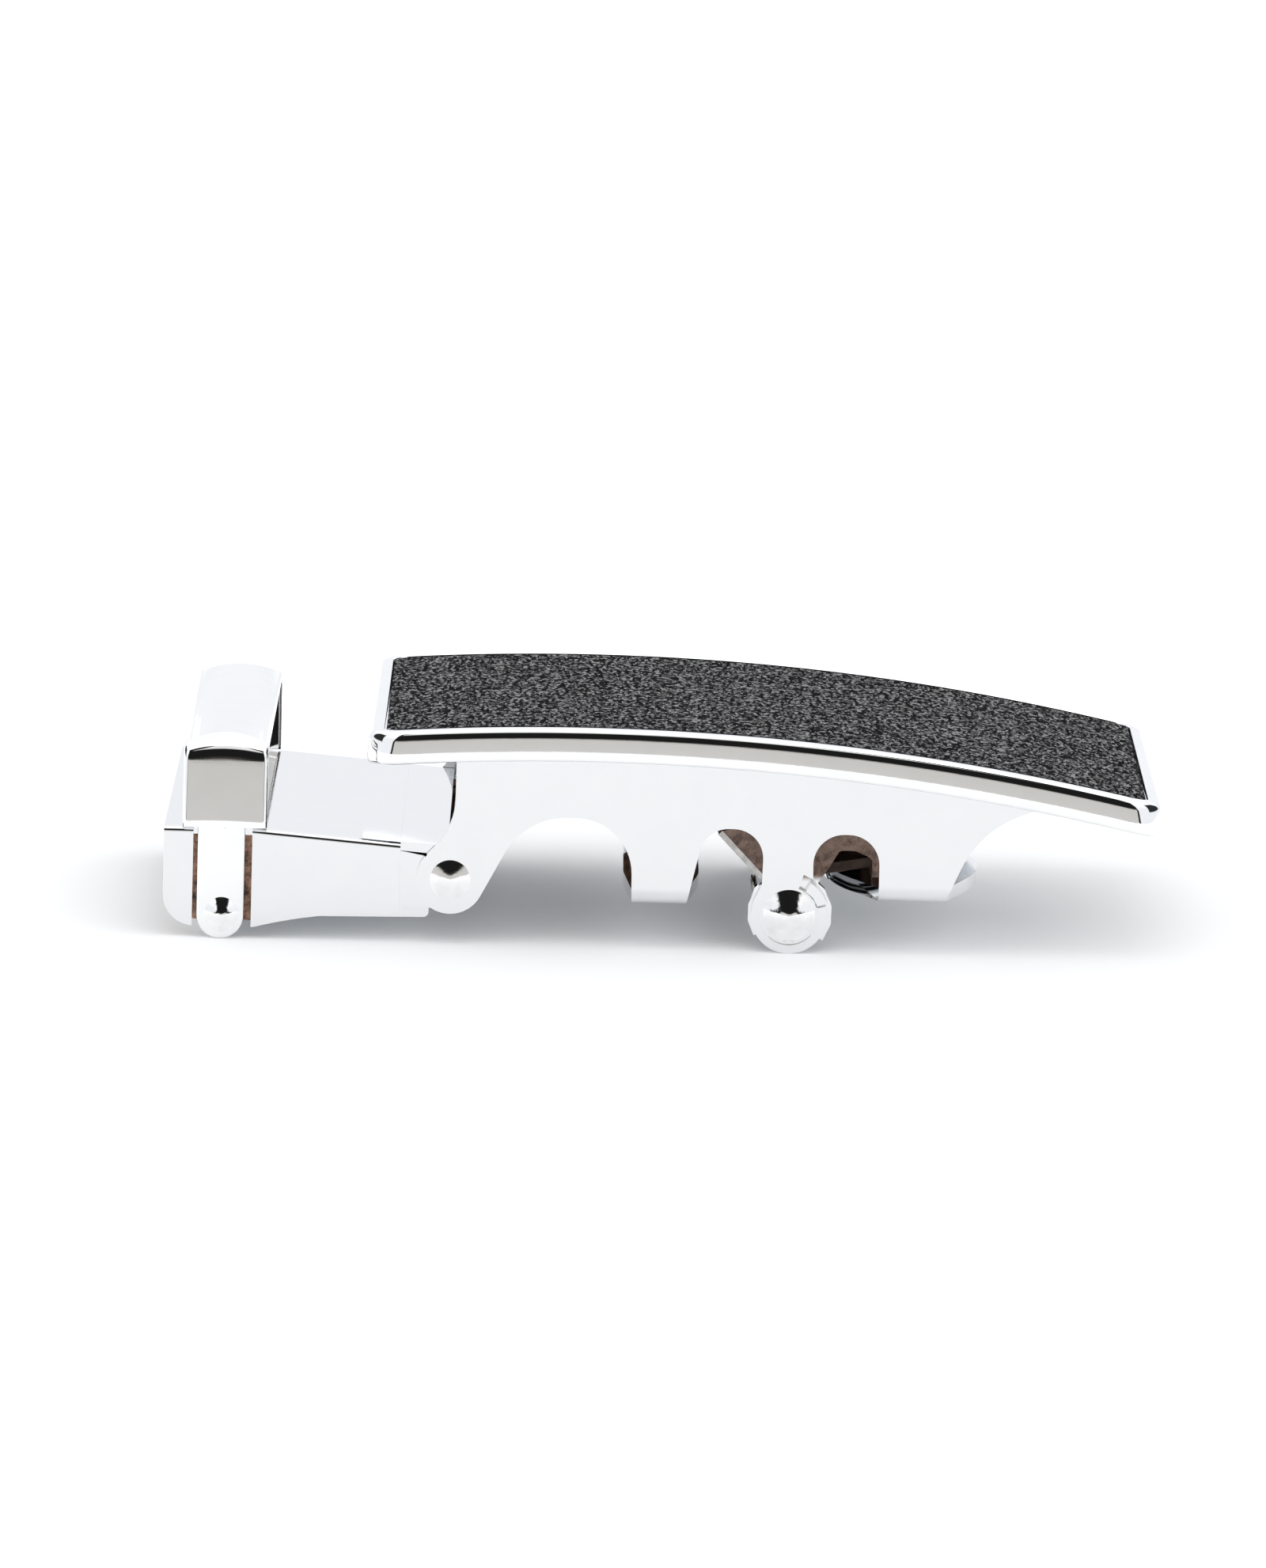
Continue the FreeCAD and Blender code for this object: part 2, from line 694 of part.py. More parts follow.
def make_clamp_cover():
    body = new_body("clamp_cover")
    block = new_sketch(body, "cover_block")
    outline(block, [
        ("cover_left", "cover_top"),
        ("cover_left", "cover_bottom", "cover_corner"),
        ("leg_slot_right + cover_slot_lap", "cover_bottom"),
        ("cover_waist_x", "cover_waist_z", "cover_waist_radius"),
        ("cover_right", "cover_right_bottom"),
        ("cover_right", "cover_right_top"),
        ("cover_bend_x", "cover_top"),
    ])
    pad(body, block, "2 * cover_out")
    hollow = new_sketch(body, "cover_hollow")
    outline(hollow, [
        ("cover_left - 1", "cover_top - cover_thick"),
        ("cover_left - 1", "cover_bottom - 1"),
        ("cover_right + 1", "cover_bottom - 1"),
        ("cover_right + 1", "cover_right_top - cover_thick - cover_taper"),
        ("cover_bend_x", "cover_top - cover_thick"),
    ])
    pocket(body, hollow, "2 * frame_out")
    tongue = new_sketch(body, "cover_tongue")
    outline(tongue, [
        ("cover_right - 1", "cover_right_top + tongue_rise"),
        ("cover_right - 1", "cover_right_top + tongue_rise - cover_thick"),
        ("tongue_right", "tongue_right_top - cover_thick"),
        ("tongue_right", "tongue_right_top"),
    ])
    pad(body, tongue, "2 * tongue_half")
    on_sides(body, "leg_slot", "frame_out", "3", lambda s: outline(s, [
        ("leg_slot_left", "-1"), ("leg_slot_right", "-1"),
        ("leg_slot_right", "cover_top + 1"), ("leg_slot_left", "cover_top + 1")]), make=pocket)
    out = number("cover_out")

    def top_edge(edge):
        return all_points(edge, lambda p: near_to(abs(p.y), out) and p.z > 7.5) and \
            edge.BoundBox.XLength > 1

    round_edges(body, "cover_shoulder", top_edge, "cover_edge")


def make_clamp_frame():
    body = new_body("clamp_frame")
    block = new_sketch(body, "frame_block")
    outline(block, [
        ("frame_left", "cover_top - cover_thick"),
        ("frame_left", "frame_bottom", "cover_corner - frame_inset"),
        ("leg_slot_right + cover_slot_lap", "frame_bottom"),
        ("cover_waist_x", "cover_waist_z + frame_inset", "cover_waist_radius"),
        ("hinge_x - frame_toe", "hinge_z - frame_ear"),
        ("hinge_x", "hinge_z - frame_ear"),
        ("hinge_x", "hinge_z + frame_shoulder"),
        ("cover_right", "cover_right_top - cover_thick - lid_gap"),
        ("cover_bend_x", "cover_top - cover_thick"),
    ])
    pad(body, block, "2 * frame_out")
    on_sides(body, "hinge_ear", "frame_out - frame_thick", "frame_thick",
             lambda s: circle(s, "hinge_x", "hinge_z", "hinge_ear - ear_trim"))
    hollow = new_sketch(body, "frame_hollow")
    outline(hollow, [
        ("frame_left - 1", "-1"),
        ("hinge_x + 4", "-1"),
        ("hinge_x + 4", "cover_top"),
        ("frame_web_right", "cover_top"),
        ("frame_web_right", "tongue_right_top - cover_thick - frame_web"),
        ("cover_right", "cover_right_top - cover_thick - frame_web"),
        ("cover_bend_x", "cover_top - cover_thick - frame_web"),
        ("frame_left - 1", "cover_top - cover_thick - frame_web"),
    ])
    pocket(body, hollow, "2 * (frame_out - frame_thick)")
    lid = new_sketch(body, "frame_lid_seat")
    outline(lid, [
        ("cover_right - 1", "cover_right_top + tongue_rise - cover_thick"),
        ("tongue_right + 4", "tongue_right_top - cover_thick - lid_drop"),
        ("tongue_right + 4", "cover_top + 1"),
        ("cover_right - 1", "cover_top + 1"),
    ])
    pocket(body, lid, "2 * frame_out + 2")
    holes = new_sketch(body, "frame_holes")
    circle(holes, "hinge_x", "hinge_z", "hinge_radius + hinge_gap")
    circle(holes, "clamp_pin_x", "clamp_pin_z", "clamp_pin_radius")
    pocket(body, holes, "2 * frame_out + 2")


def make_keeper_loop():
    body = new_body("keeper_loop")
    arch = new_sketch(body, "loop_arch", "YZ_Plane", "loop_x")
    outline(arch, [
        ("-loop_out", "0"), ("-loop_out", "cover_top + loop_foot"),
        ("loop_lean - loop_out", "loop_top", "loop_corner"),
        ("loop_out - loop_lean", "loop_top", "loop_corner"),
        ("loop_out", "cover_top + loop_foot"), ("loop_out", "0"),
        ("loop_inner", "0"), ("loop_inner", "cover_top + loop_foot"),
        ("loop_inner - loop_lean", "loop_top - loop_band", "loop_corner / 2"),
        ("loop_lean - loop_inner", "loop_top - loop_band", "loop_corner / 2"),
        ("-loop_inner", "cover_top + loop_foot"), ("-loop_inner", "0"),
    ])
    pad(body, arch, "2 * loop_half")
    for side, sign in (("left", "-"), ("right", "+")):
        waist = new_sketch(body, "loop_%s_waist" % side)
        outline(waist, [
            ("leg_x %s loop_leg_half" % sign, "loop_leg_half - leg_round"),
            ("leg_x %s loop_leg_half" % sign, "cover_top"),
            ("loop_x %s (loop_half + 1)" % sign, "cover_top"),
            ("loop_x %s (loop_half + 1)" % sign, "-1"),
            ("leg_x %s leg_toe" % sign, "-1"),
            ("leg_x %s leg_toe" % sign, "0"),
            ("leg_x %s loop_leg_half * leg_toe_share" % sign, "leg_toe_rise"),
        ])
        pocket(body, waist, "2 * loop_out + 2")
        crown = new_sketch(body, "loop_%s_crown" % side)
        outline(crown, [
            ("loop_x %s crown_flat" % sign, "loop_top + lid_gap"),
            ("loop_x %s crown_run" % sign, "loop_top - crown_drop", "loop_crown_radius"),
            ("loop_x %s (loop_half + crown_lap)" % sign, "loop_top - crown_edge"),
            ("loop_x %s (loop_half + crown_lap)" % sign, "loop_top + 1"),
            ("loop_x %s crown_flat" % sign, "loop_top + 1"),
        ])
        pocket(body, crown, "2 * loop_out + 2")
    holes = new_sketch(body, "loop_pin_holes")
    circle(holes, "clamp_pin_x", "clamp_pin_z", "clamp_pin_radius")
    pocket(body, holes, "2 * loop_out + 2")


def make_clamp_jaw():
    body = new_body("clamp_jaw")
    plate = new_sketch(body, "jaw_plate")
    outline(plate, [
        ("clamp_pin_x", "jaw_bottom"),
        ("(clamp_pin_x + jaw_right) / 2", "jaw_bottom - jaw_bow", "jaw_bend"),
        ("jaw_right", "jaw_bottom", "2 * jaw_lip_round"),
        ("jaw_right", "jaw_bottom + jaw_thick + jaw_lip", "jaw_lip_round"),
        ("jaw_right - jaw_lip_top", "jaw_bottom + jaw_thick + jaw_lip", "jaw_lip_round"),
        ("jaw_right - jaw_lip_foot", "jaw_bottom + jaw_thick"),
        ("(clamp_pin_x + jaw_right) / 2", "jaw_bottom + jaw_thick - jaw_bow", "jaw_bend"),
        ("clamp_pin_x", "jaw_bottom + jaw_thick"),
    ])
    pad(body, plate, "2 * jaw_half")
    hub = new_sketch(body, "jaw_hub_round")
    circle(hub, "clamp_pin_x", "clamp_pin_z", "jaw_hub")
    pad(body, hub, "2 * jaw_half")
    top = "jaw_bottom + jaw_thick - jaw_bow - tooth_sink"
    for index in range(3):
        ridge = new_sketch(body, "jaw_ridge_%d" % (index + 1))
        x = "tooth_x + %d * tooth_pitch" % index
        outline(ridge, [(x + " - tooth_half", top), (x + " + tooth_half", top),
                        (x + " - tooth_half * tooth_lean", top + " + tooth_height")])
        pad(body, ridge, "2 * (jaw_half - tooth_margin)")
    gap = new_sketch(body, "tooth_gap_cut", offset="%d / 2 * tooth_step" % (TEETH_GAPS - 1))
    first = "tooth_x - tooth_margin"
    last = "tooth_x + 2 * tooth_pitch + tooth_margin"
    outline(gap, [(first, top + " + tooth_floor"), (last, top + " + tooth_floor"),
                  (last, top + " + 2 * tooth_height"), (first, top + " + 2 * tooth_height")])
    cut = pocket(body, gap, "tooth_gap")
    row = body.newObject("PartDesign::LinearPattern", "tooth_gap_row")
    row.Originals = [cut]
    row.Direction = (gap, ["N_Axis"])
    row.Reversed = True
    bind(row, "Length", "%d * tooth_step" % (TEETH_GAPS - 1))
    row.Occurrences = TEETH_GAPS
    body.Tip = row
    doc.recompute()
    bore = new_sketch(body, "jaw_bore")
    circle(bore, "clamp_pin_x", "clamp_pin_z", "clamp_pin_radius + run_gap")
    pocket(body, bore, "2 * jaw_half + 2")


# ---------------------------------------------------------------- pawl and lever

def along_blade(reach, aside):
    """A corner at a distance along the blade and to its lower side."""
    return ("pawl_x + (%s) * cos(blade_angle) - (%s) * sin(blade_angle)" % (reach, aside),
            "pawl_z + (%s) * sin(blade_angle) + (%s) * cos(blade_angle)" % (reach, aside))


def from_pin(x, z, *rounding):
    """A corner given by its offset from the pawl pin."""
    return ("pawl_x + %s" % x, "pawl_z + %s" % z) + rounding


def draw_yoke(sketch):
    """Side plate of the pawl, with an open corner over the lever's arm."""
    outline(sketch, [
        along_blade("yoke_root", "-rib_high + 0.1"),
        along_blade("yoke_reach", "-rib_high + 0.1"),
        from_pin("(yoke_top - yoke_reach - yoke_slope)", "yoke_top"),
        from_pin("yoke_right", "yoke_top"),
        from_pin("yoke_right", "yoke_foot"),
        from_pin("gap_right", "yoke_foot"),
        from_pin("gap_right", "gap_side", "0.6"),
        from_pin("gap_turn + 1.2", "gap_top", "0.6"),
        from_pin("gap_turn", "gap_top", "0.4"),
        from_pin("gap_left", "gap_low"),
        from_pin("yoke_slope", "yoke_slope"),
    ])


def make_pawl():
    body = new_body("pawl")
    hub = new_sketch(body, "pawl_hub")
    circle(hub, "pawl_x", "pawl_z", "hub_radius")
    pad(body, hub, "2 * (%s - side_gap)" % CHEEK_IN)
    blade = new_sketch(body, "pawl_blade")
    outline(blade, [
        along_blade("0", "blade_low"),
        along_blade("0", "-blade_high"),
        along_blade("tooth_reach", "-blade_high"),
        along_blade("blade_reach", "blade_low"),
    ])
    pad(body, blade, "2 * blade_half_width")
    tail = new_sketch(body, "pawl_tail")
    outline(tail, [
        from_pin("tail_start", "tail_low"), from_pin("tail_end", "tail_high"),
        from_pin("tail_end", "tail_high + tail_thick"),
        from_pin("tail_start", "tail_low + tail_thick"), from_pin("0", "0.5 * hub_radius"),
    ])
    pad(body, tail, "2 * blade_half_width")
    disc_in = CHEEK_IN + " - side_gap - disc_thick"
    on_sides(body, "yoke", disc_in, "disc_thick", draw_yoke)
    on_sides(body, "rib", disc_in, "disc_thick + rib_proud", lambda s: outline(s, [
        along_blade("yoke_root", "-rib_low"), along_blade("yoke_root", "-rib_high"),
        along_blade("yoke_reach", "-rib_high"), along_blade("yoke_reach", "-rib_low")]))
    on_sides(body, "disc", disc_in, "disc_thick",
             lambda s: circle(s, "pawl_x", "pawl_z", "disc_radius"))
    on_sides(body, "bump", disc_in, "disc_thick",
             lambda s: draw_sector(s, "hub_radius", "bump_radius", "bump_start", "bump_end"))
    on_sides(body, "heel", disc_in, "disc_thick",
             lambda s: draw_sector(s, "hub_radius", "heel_radius", "heel_start", "heel_end"))
    on_sides(body, "lug", disc_in, "disc_thick + side_gap + sheet_thick",
             lambda s: draw_sector(s, "lug_inner", "lug_outer", "lug_start", "lug_end"),
             sides=("near",))
    bore = new_sketch(body, "pawl_bore")
    circle(bore, "pawl_x", "pawl_z", "pawl_pin_radius + run_gap")
    pocket(body, bore, "2 * cheek_out")
    on_sides(body, "lever_rivet_hole", disc_in + " - 0.5", "3", draw_lever_rivet,
             sides=("far",), make=pocket)


def draw_lever_rivet(sketch):
    centre = polar("lever_rivet_offset", "lever_rivet_angle")
    circle(sketch, centre[0], centre[1], "lever_rivet_radius")


LEVER_IN = CHEEK_IN + " - side_gap - disc_thick - lever_thick"


def make_release_lever():
    body = new_body("release_lever")
    on_sides(body, "lever_ring", LEVER_IN, "lever_thick",
             lambda s: circle(s, "pawl_x", "pawl_z", "disc_radius"), sides=("far",))
    on_sides(body, "lever_plate", LEVER_IN, "lever_thick", lambda s: outline(s, [
        ("pawl_x - lever_reach", "pawl_z + lever_rise"),
        ("pawl_x + lever_reach", "pawl_z - lever_rise / 2"),
        ("arm_x + 0.7 * arm_radius", "arm_z - 0.7 * arm_radius"),
        ("arm_x - 0.7 * arm_radius", "arm_z + 0.7 * arm_radius")]), sides=("far",))
    on_sides(body, "lever_arm", LEVER_IN, "lever_end - (%s)" % LEVER_IN,
             lambda s: circle(s, "arm_x", "arm_z", "arm_radius"), sides=("far",))
    on_sides(body, "thumb_pad", "thumb_start", "lever_end - thumb_start", lambda s: outline(s, [
        ("arm_x - thumb_half_length", "arm_z - thumb_half_height", "thumb_corner"),
        ("arm_x + thumb_half_length", "arm_z - thumb_half_height", "thumb_corner"),
        ("arm_x + thumb_half_length", "arm_z + thumb_half_height", "thumb_corner"),
        ("arm_x - thumb_half_length", "arm_z + thumb_half_height", "thumb_corner")]), sides=("far",))
    bore = new_sketch(body, "lever_bore")
    circle(bore, "pawl_x", "pawl_z", "hub_radius")
    pocket(body, bore, "2 * cheek_out")
    on_sides(body, "lever_hole", LEVER_IN + " - 0.5", "3", draw_lever_rivet,
             sides=("far",), make=pocket)


def make_lever_rivet():
    body = new_body("lever_rivet")
    on_sides(body, "rivet_shank", LEVER_IN, "lever_thick + disc_thick", draw_lever_rivet,
             sides=("far",))


def make_springs():
    """Torsion springs on the hub: a leg up to the web, a coil and a hook under the blade."""
    wire = number("spring_wire")
    radius = number("spring_radius")
    pitch = number("spring_pitch")
    bend = number("spring_bend")
    axis = FreeCAD.Vector(0, 1, 0)
    centre = FreeCAD.Vector(number("pawl_x"), 0, number("pawl_z"))
    seat = number("%s - spring_wire - spring_lift"
                  % arc_height(UNDER + " - sheet_thick", "spring_foot_x"))
    foot = FreeCAD.Vector(number("spring_foot_x"), 0, seat)
    under = along_blade("spring_hook_reach", "blade_low + spring_wire + spring_lift")
    hook = FreeCAD.Vector(number(under[0]), 0, number(under[1]))
    angles = []
    legs = []
    for point, turn in ((foot, -1), (hook, 1)):
        ray = point - centre
        angles.append(math.atan2(ray.z, ray.x) + turn * math.acos(radius / ray.Length))
        legs.append(math.sqrt(ray.Length ** 2 - radius ** 2))
    turns = 3 + ((angles[0] - angles[1]) / (2 * math.pi)) % 1
    outer_y = number("spring_inner_y") + pitch * turns
    first = FreeCAD.Vector(math.cos(angles[0]), 0, math.sin(angles[0]))
    helix = Part.makeHelix(pitch, pitch * turns, radius)
    turned = FreeCAD.Rotation(first, axis.cross(first), axis, "ZXY")
    helix.Placement = FreeCAD.Placement(centre - axis * outer_y, turned)
    coil = helix.Edges[0]
    start = coil.valueAt(coil.FirstParameter)
    end = coil.valueAt(coil.LastParameter)
    out = coil.tangentAt(coil.FirstParameter)
    along = coil.tangentAt(coil.LastParameter)
    inward = (axis - along * along.dot(axis)).normalize()
    tail = start - out * legs[0]
    corner = end + along * (legs[1] - bend)
    middle = corner + inward * bend + (along - inward) * (bend / math.sqrt(2))
    turned_in = corner + (along + inward) * bend
    path = Part.Wire([
        Part.makeLine(tail, start),
        coil,
        Part.makeLine(end, corner),
        Part.Arc(corner, middle, turned_in).toShape(),
        Part.makeLine(turned_in, turned_in + inward * number("spring_hook")),
    ])
    section = Part.Wire([Part.makeCircle(wire, tail, out)])
    near = path.makePipeShell([section], True, True)
    far = near.mirror(FreeCAD.Vector(0, 0, 0), axis)
    for label, solid in (("near_spring", near), ("far_spring", far)):
        feature = doc.addObject("Part::Feature", label)
        feature.Label = label
        feature.Shape = solid
        feature.Placement = FreeCAD.Placement(FreeCAD.Vector(0, number(MIDDLE), 0), FreeCAD.Rotation())


MAKERS = (make_face_plate, make_inlay, make_chassis, make_rivets, make_pins, make_clamp_cover,
          make_clamp_frame, make_keeper_loop, make_clamp_jaw, make_pawl, make_release_lever,
          make_lever_rivet, make_springs)

NODES = ("face_plate", "adhesive_film", "inlay_board", "inlay_fabric", "chassis", "chassis_rivets",
         "hinge_pin", "pawl_pin", "clamp_pin", "clamp_cover", "clamp_frame", "keeper_loop",
         "clamp_jaw", "pawl", "release_lever", "lever_rivet", "near_spring", "far_spring")

for maker in MAKERS:
    maker()
doc.recompute()

for item in doc.Objects:
    if any(word in item.State for word in ("Invalid", "Error")):
        raise ValueError(item.Name + " failed: " + ", ".join(item.State))
os.makedirs("parts", exist_ok=True)
for node in NODES:
    item = next(o for o in doc.Objects if o.Label == node)
    if item.Shape.isNull() or not item.Shape.isValid():
        raise ValueError(node + " has no valid shape")
    print("%-16s %7.1f mm3, %d solid" % (node, item.Shape.Volume, len(item.Shape.Solids)))
for node in NODES:
    item = next(o for o in doc.Objects if o.Label == node)
    item.Shape.exportStep("parts/%s.step" % node)
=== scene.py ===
import json
import math

import bmesh
import bpy
import numpy as np
from mathutils import Matrix, Vector

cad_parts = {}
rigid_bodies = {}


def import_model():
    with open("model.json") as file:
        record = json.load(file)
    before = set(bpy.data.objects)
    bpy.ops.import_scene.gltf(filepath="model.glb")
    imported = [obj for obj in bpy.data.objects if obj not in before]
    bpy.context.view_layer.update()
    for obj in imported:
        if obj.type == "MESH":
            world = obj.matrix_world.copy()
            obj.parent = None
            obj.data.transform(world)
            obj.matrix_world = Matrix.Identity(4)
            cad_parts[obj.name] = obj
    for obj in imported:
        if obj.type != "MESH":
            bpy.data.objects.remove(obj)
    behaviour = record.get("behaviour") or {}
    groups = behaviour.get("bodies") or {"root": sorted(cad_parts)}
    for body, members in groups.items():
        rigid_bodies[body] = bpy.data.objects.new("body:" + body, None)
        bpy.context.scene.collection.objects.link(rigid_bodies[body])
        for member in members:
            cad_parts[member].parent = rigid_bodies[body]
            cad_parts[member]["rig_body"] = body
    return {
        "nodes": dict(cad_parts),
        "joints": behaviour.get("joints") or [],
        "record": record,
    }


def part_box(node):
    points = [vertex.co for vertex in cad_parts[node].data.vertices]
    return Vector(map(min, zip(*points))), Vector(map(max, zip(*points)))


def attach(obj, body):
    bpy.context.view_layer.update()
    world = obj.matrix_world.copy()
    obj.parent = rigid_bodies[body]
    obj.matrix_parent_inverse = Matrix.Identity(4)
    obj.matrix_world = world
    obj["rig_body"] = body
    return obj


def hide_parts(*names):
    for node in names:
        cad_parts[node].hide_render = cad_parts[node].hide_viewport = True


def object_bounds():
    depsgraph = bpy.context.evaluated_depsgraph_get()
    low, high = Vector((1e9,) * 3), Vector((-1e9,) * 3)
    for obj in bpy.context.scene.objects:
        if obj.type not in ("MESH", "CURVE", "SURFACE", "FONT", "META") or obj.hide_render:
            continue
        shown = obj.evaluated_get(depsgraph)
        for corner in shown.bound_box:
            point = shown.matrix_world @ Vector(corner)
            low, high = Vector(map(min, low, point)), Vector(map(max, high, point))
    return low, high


# Looks for the ratchet belt buckle.  Lengths are in metres; MM turns millimetres into metres.
MM = 0.001

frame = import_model()
cad_low, cad_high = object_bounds()
record = frame["record"]
JOINTS = {joint["name"]: Vector(joint["pos_m"]) for joint in frame["joints"]}
PLATE_LOW, PLATE_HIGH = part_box("face_plate")
MIDDLE = (PLATE_LOW.y + PLATE_HIGH.y) / 2
scene = bpy.context.scene


# ---------------------------------------------------------------- node helpers

class Nodes:
    """Builds a node tree with short calls."""

    def __init__(self, owner):
        owner.use_nodes = True
        self.tree = owner.node_tree
        self.tree.nodes.clear()

    def add(self, kind, inputs=None, **settings):
        node = self.tree.nodes.new(kind)
        for key, value in settings.items():
            setattr(node, key, value)
        for key, value in (inputs or {}).items():
            self.put(node, key, value)
        return node

    def put(self, node, key, value):
        if isinstance(value, bpy.types.NodeSocket):
            self.tree.links.new(value, node.inputs[key])
        else:
            node.inputs[key].default_value = value

    def math(self, operation, *values):
        return self.add("ShaderNodeMath", dict(enumerate(values)), operation=operation).outputs[0]

    def span(self, value, low, high, to_low=0.0, to_high=1.0, smooth=False):
        kind = "SMOOTHSTEP" if smooth else "LINEAR"
        inputs = {0: value, 1: low, 2: high, 3: to_low, 4: to_high}
        return self.add("ShaderNodeMapRange", inputs, interpolation_type=kind).outputs[0]

    def blend(self, factor, first, second):
        node = self.add("ShaderNodeMix", data_type="RGBA")
        self.put(node, 0, factor)
        self.put(node, 6, first)
        self.put(node, 7, second)
        return node.outputs[2]

    def object_point(self, scale=(1, 1, 1), turn=(0, 0, 0)):
        """Object coordinates in millimetres, stretched by scale."""
        place = self.add("ShaderNodeTexCoord").outputs["Object"]
        inputs = {0: place, "Scale": [1000 * s for s in scale], "Rotation": turn}
        return self.add("ShaderNodeMapping", inputs).outputs[0]

    def noise(self, vector, scale, detail=3.0, roughness=0.5):
        inputs = {"Vector": vector, "Scale": scale, "Detail": detail, "Roughness": roughness}
        return self.add("ShaderNodeTexNoise", inputs).outputs[0]

    def bump(self, height, distance, strength=1.0, normal=None):
        inputs = {"Height": height, "Distance": distance, "Strength": strength}
        if normal:
            inputs["Normal"] = normal
        return self.add("ShaderNodeBump", inputs).outputs[0]

    def finish(self, shader):
        out = self.add("ShaderNodeOutputMaterial")
        self.tree.links.new(shader.outputs[0], out.inputs[0])


def rgb(*values):
    return (*values, 1.0)


def new_material(name):
    material = bpy.data.materials.new(name)
    return material, Nodes(material)


# Brown strike plating, and a darker copy of it as painted shade deep inside: light and dark tone, and least
# roughness.
STRIKE = (0.32, 0.185, 0.13), (0.045, 0.03, 0.025), 0.34
SHADED = (0.17, 0.12, 0.098), (0.07, 0.05, 0.042), 0.2
# Chrome on pressed sheet: bright and dull tone.
SHEET_TONES = (0.795, 0.802, 0.812), (0.78, 0.787, 0.798)
# From the plate's side to the near edge of the cloth, in millimetres.
CLOTH_INSET = 1.43


def metal(name, bright, dull, rough, rough_spread, wave, scratch, patch=0.35, bare=None):
    """Plated metal: slow colour change, uneven polish, a trace of waviness and fine scratches.

    bare is (axis, low, high, colours): between the two positions along that axis, in millimetres,
    only the brown strike plating shows.
    """
    material, n = new_material(name)
    point = n.object_point()
    slow = n.noise(point, patch, 4.0, 0.6)
    speck = n.noise(point, 9.0, 4.0, 0.7)
    scored = n.noise(n.object_point((0.5, 6.0, 6.0), (0.2, 0.1, 0.5)), 1.6, 3.0, 0.6)
    colour = n.blend(n.span(slow, 0.35, 0.7), rgb(*bright), rgb(*dull))
    patchy = n.math("MULTIPLY", n.span(speck, 0.45, 0.75), n.span(slow, 0.4, 0.65))
    roughness = n.span(patchy, 0.0, 1.0, rough, rough + rough_spread)
    if bare:
        axis, low, high, (light, dark, matt) = bare
        along = n.add("ShaderNodeSeparateXYZ", {0: point}).outputs[axis]
        fade = 0.3
        mask = n.math("MULTIPLY", n.span(along, low - fade, low + fade, smooth=True),
                      n.span(along, high - fade, high + fade, 1.0, 0.0, smooth=True))
        mottle = n.noise(point, 1.6, 5.0, 0.75)
        colour = n.blend(mask, colour, n.blend(n.span(mottle, 0.4, 0.62), rgb(*light), rgb(*dark)))
        roughness = n.math("MAXIMUM", roughness, n.math("MULTIPLY", mask, matt))
    normal = n.bump(slow, wave * MM)
    normal = n.bump(scored, scratch * MM, normal=normal)
    inputs = {"Base Color": colour, "Metallic": 1.0, "Roughness": roughness, "Normal": normal}
    n.finish(n.add("ShaderNodeBsdfPrincipled", inputs))
    return material


def matte(name, light, dark, rough, grain):
    """A plain moulded or pressed surface with a fine grain."""
    material, n = new_material(name)
    point = n.object_point()
    tone = n.noise(point, 1.5, 5.0, 0.7)
    fine = n.noise(point, 14.0, 3.0, 0.6)
    colour = n.blend(n.span(tone, 0.3, 0.7), rgb(*light), rgb(*dark))
    inputs = {"Base Color": colour, "Roughness": n.span(fine, 0.3, 0.7, rough - 0.08, rough + 0.08),
              "Normal": n.bump(fine, grain * MM)}
    n.finish(n.add("ShaderNodeBsdfPrincipled", inputs))
    return material


def cloth():
    """Charcoal jersey of dark and light fibres, with single lighter flecks, and a painted shadow of the rim
    along its near edge.
    """
    material, n = new_material("charcoal_cloth")
    point = n.object_point()
    course = n.noise(n.object_point((1.0, 0.36, 1.0)), 2.5, 2.0, 0.5)
    grain = n.noise(n.object_point((1.0, 0.6, 1.0), (0, 0, 0.25)), 4.0, 2.0, 0.55)
    fleck = n.noise(n.object_point((1.0, 0.5, 1.0), (0, 0, -0.2)), 3.3, 1.0, 0.5)
    cloud = n.noise(point, 0.22, 3.0, 0.6)
    dark = n.blend(n.span(cloud, 0.35, 0.65), rgb(0.004, 0.004, 0.005), rgb(0.008, 0.008, 0.009))
    mixed = n.blend(n.span(course, 0.47, 0.55), dark, rgb(0.118, 0.118, 0.122))
    mixed = n.blend(n.span(grain, 0.475, 0.55, 0.0, 0.97), mixed, rgb(0.006, 0.006, 0.007))
    mixed = n.blend(n.span(fleck, 0.57, 0.63), mixed, rgb(0.24, 0.24, 0.245))
    # Painted shadow: the cloth darkens towards its near edge, where the plate's rim shades it.
    across = n.add("ShaderNodeSeparateXYZ", {0: point}).outputs[1]
    edge = PLATE_LOW.y / MM + CLOTH_INSET
    clear_of_rim_shadow = n.span(across, edge + 0.25, edge + 1.3, smooth=True)
    colour = n.blend(clear_of_rim_shadow, rgb(0.008, 0.008, 0.009), mixed)
    fuzz = n.noise(n.object_point((1.0, 1.5, 1.0)), 6.0, 4.0, 0.7)
    height = n.math("ADD", n.math("MULTIPLY", course, 0.8), n.math("MULTIPLY", fuzz, 0.5))
    inputs = {"Base Color": colour, "Roughness": 0.92, "Specular IOR Level": 0.02,
              "Normal": n.bump(height, 0.09 * MM, 0.9)}
    n.finish(n.add("ShaderNodeBsdfPrincipled", inputs))
    return material


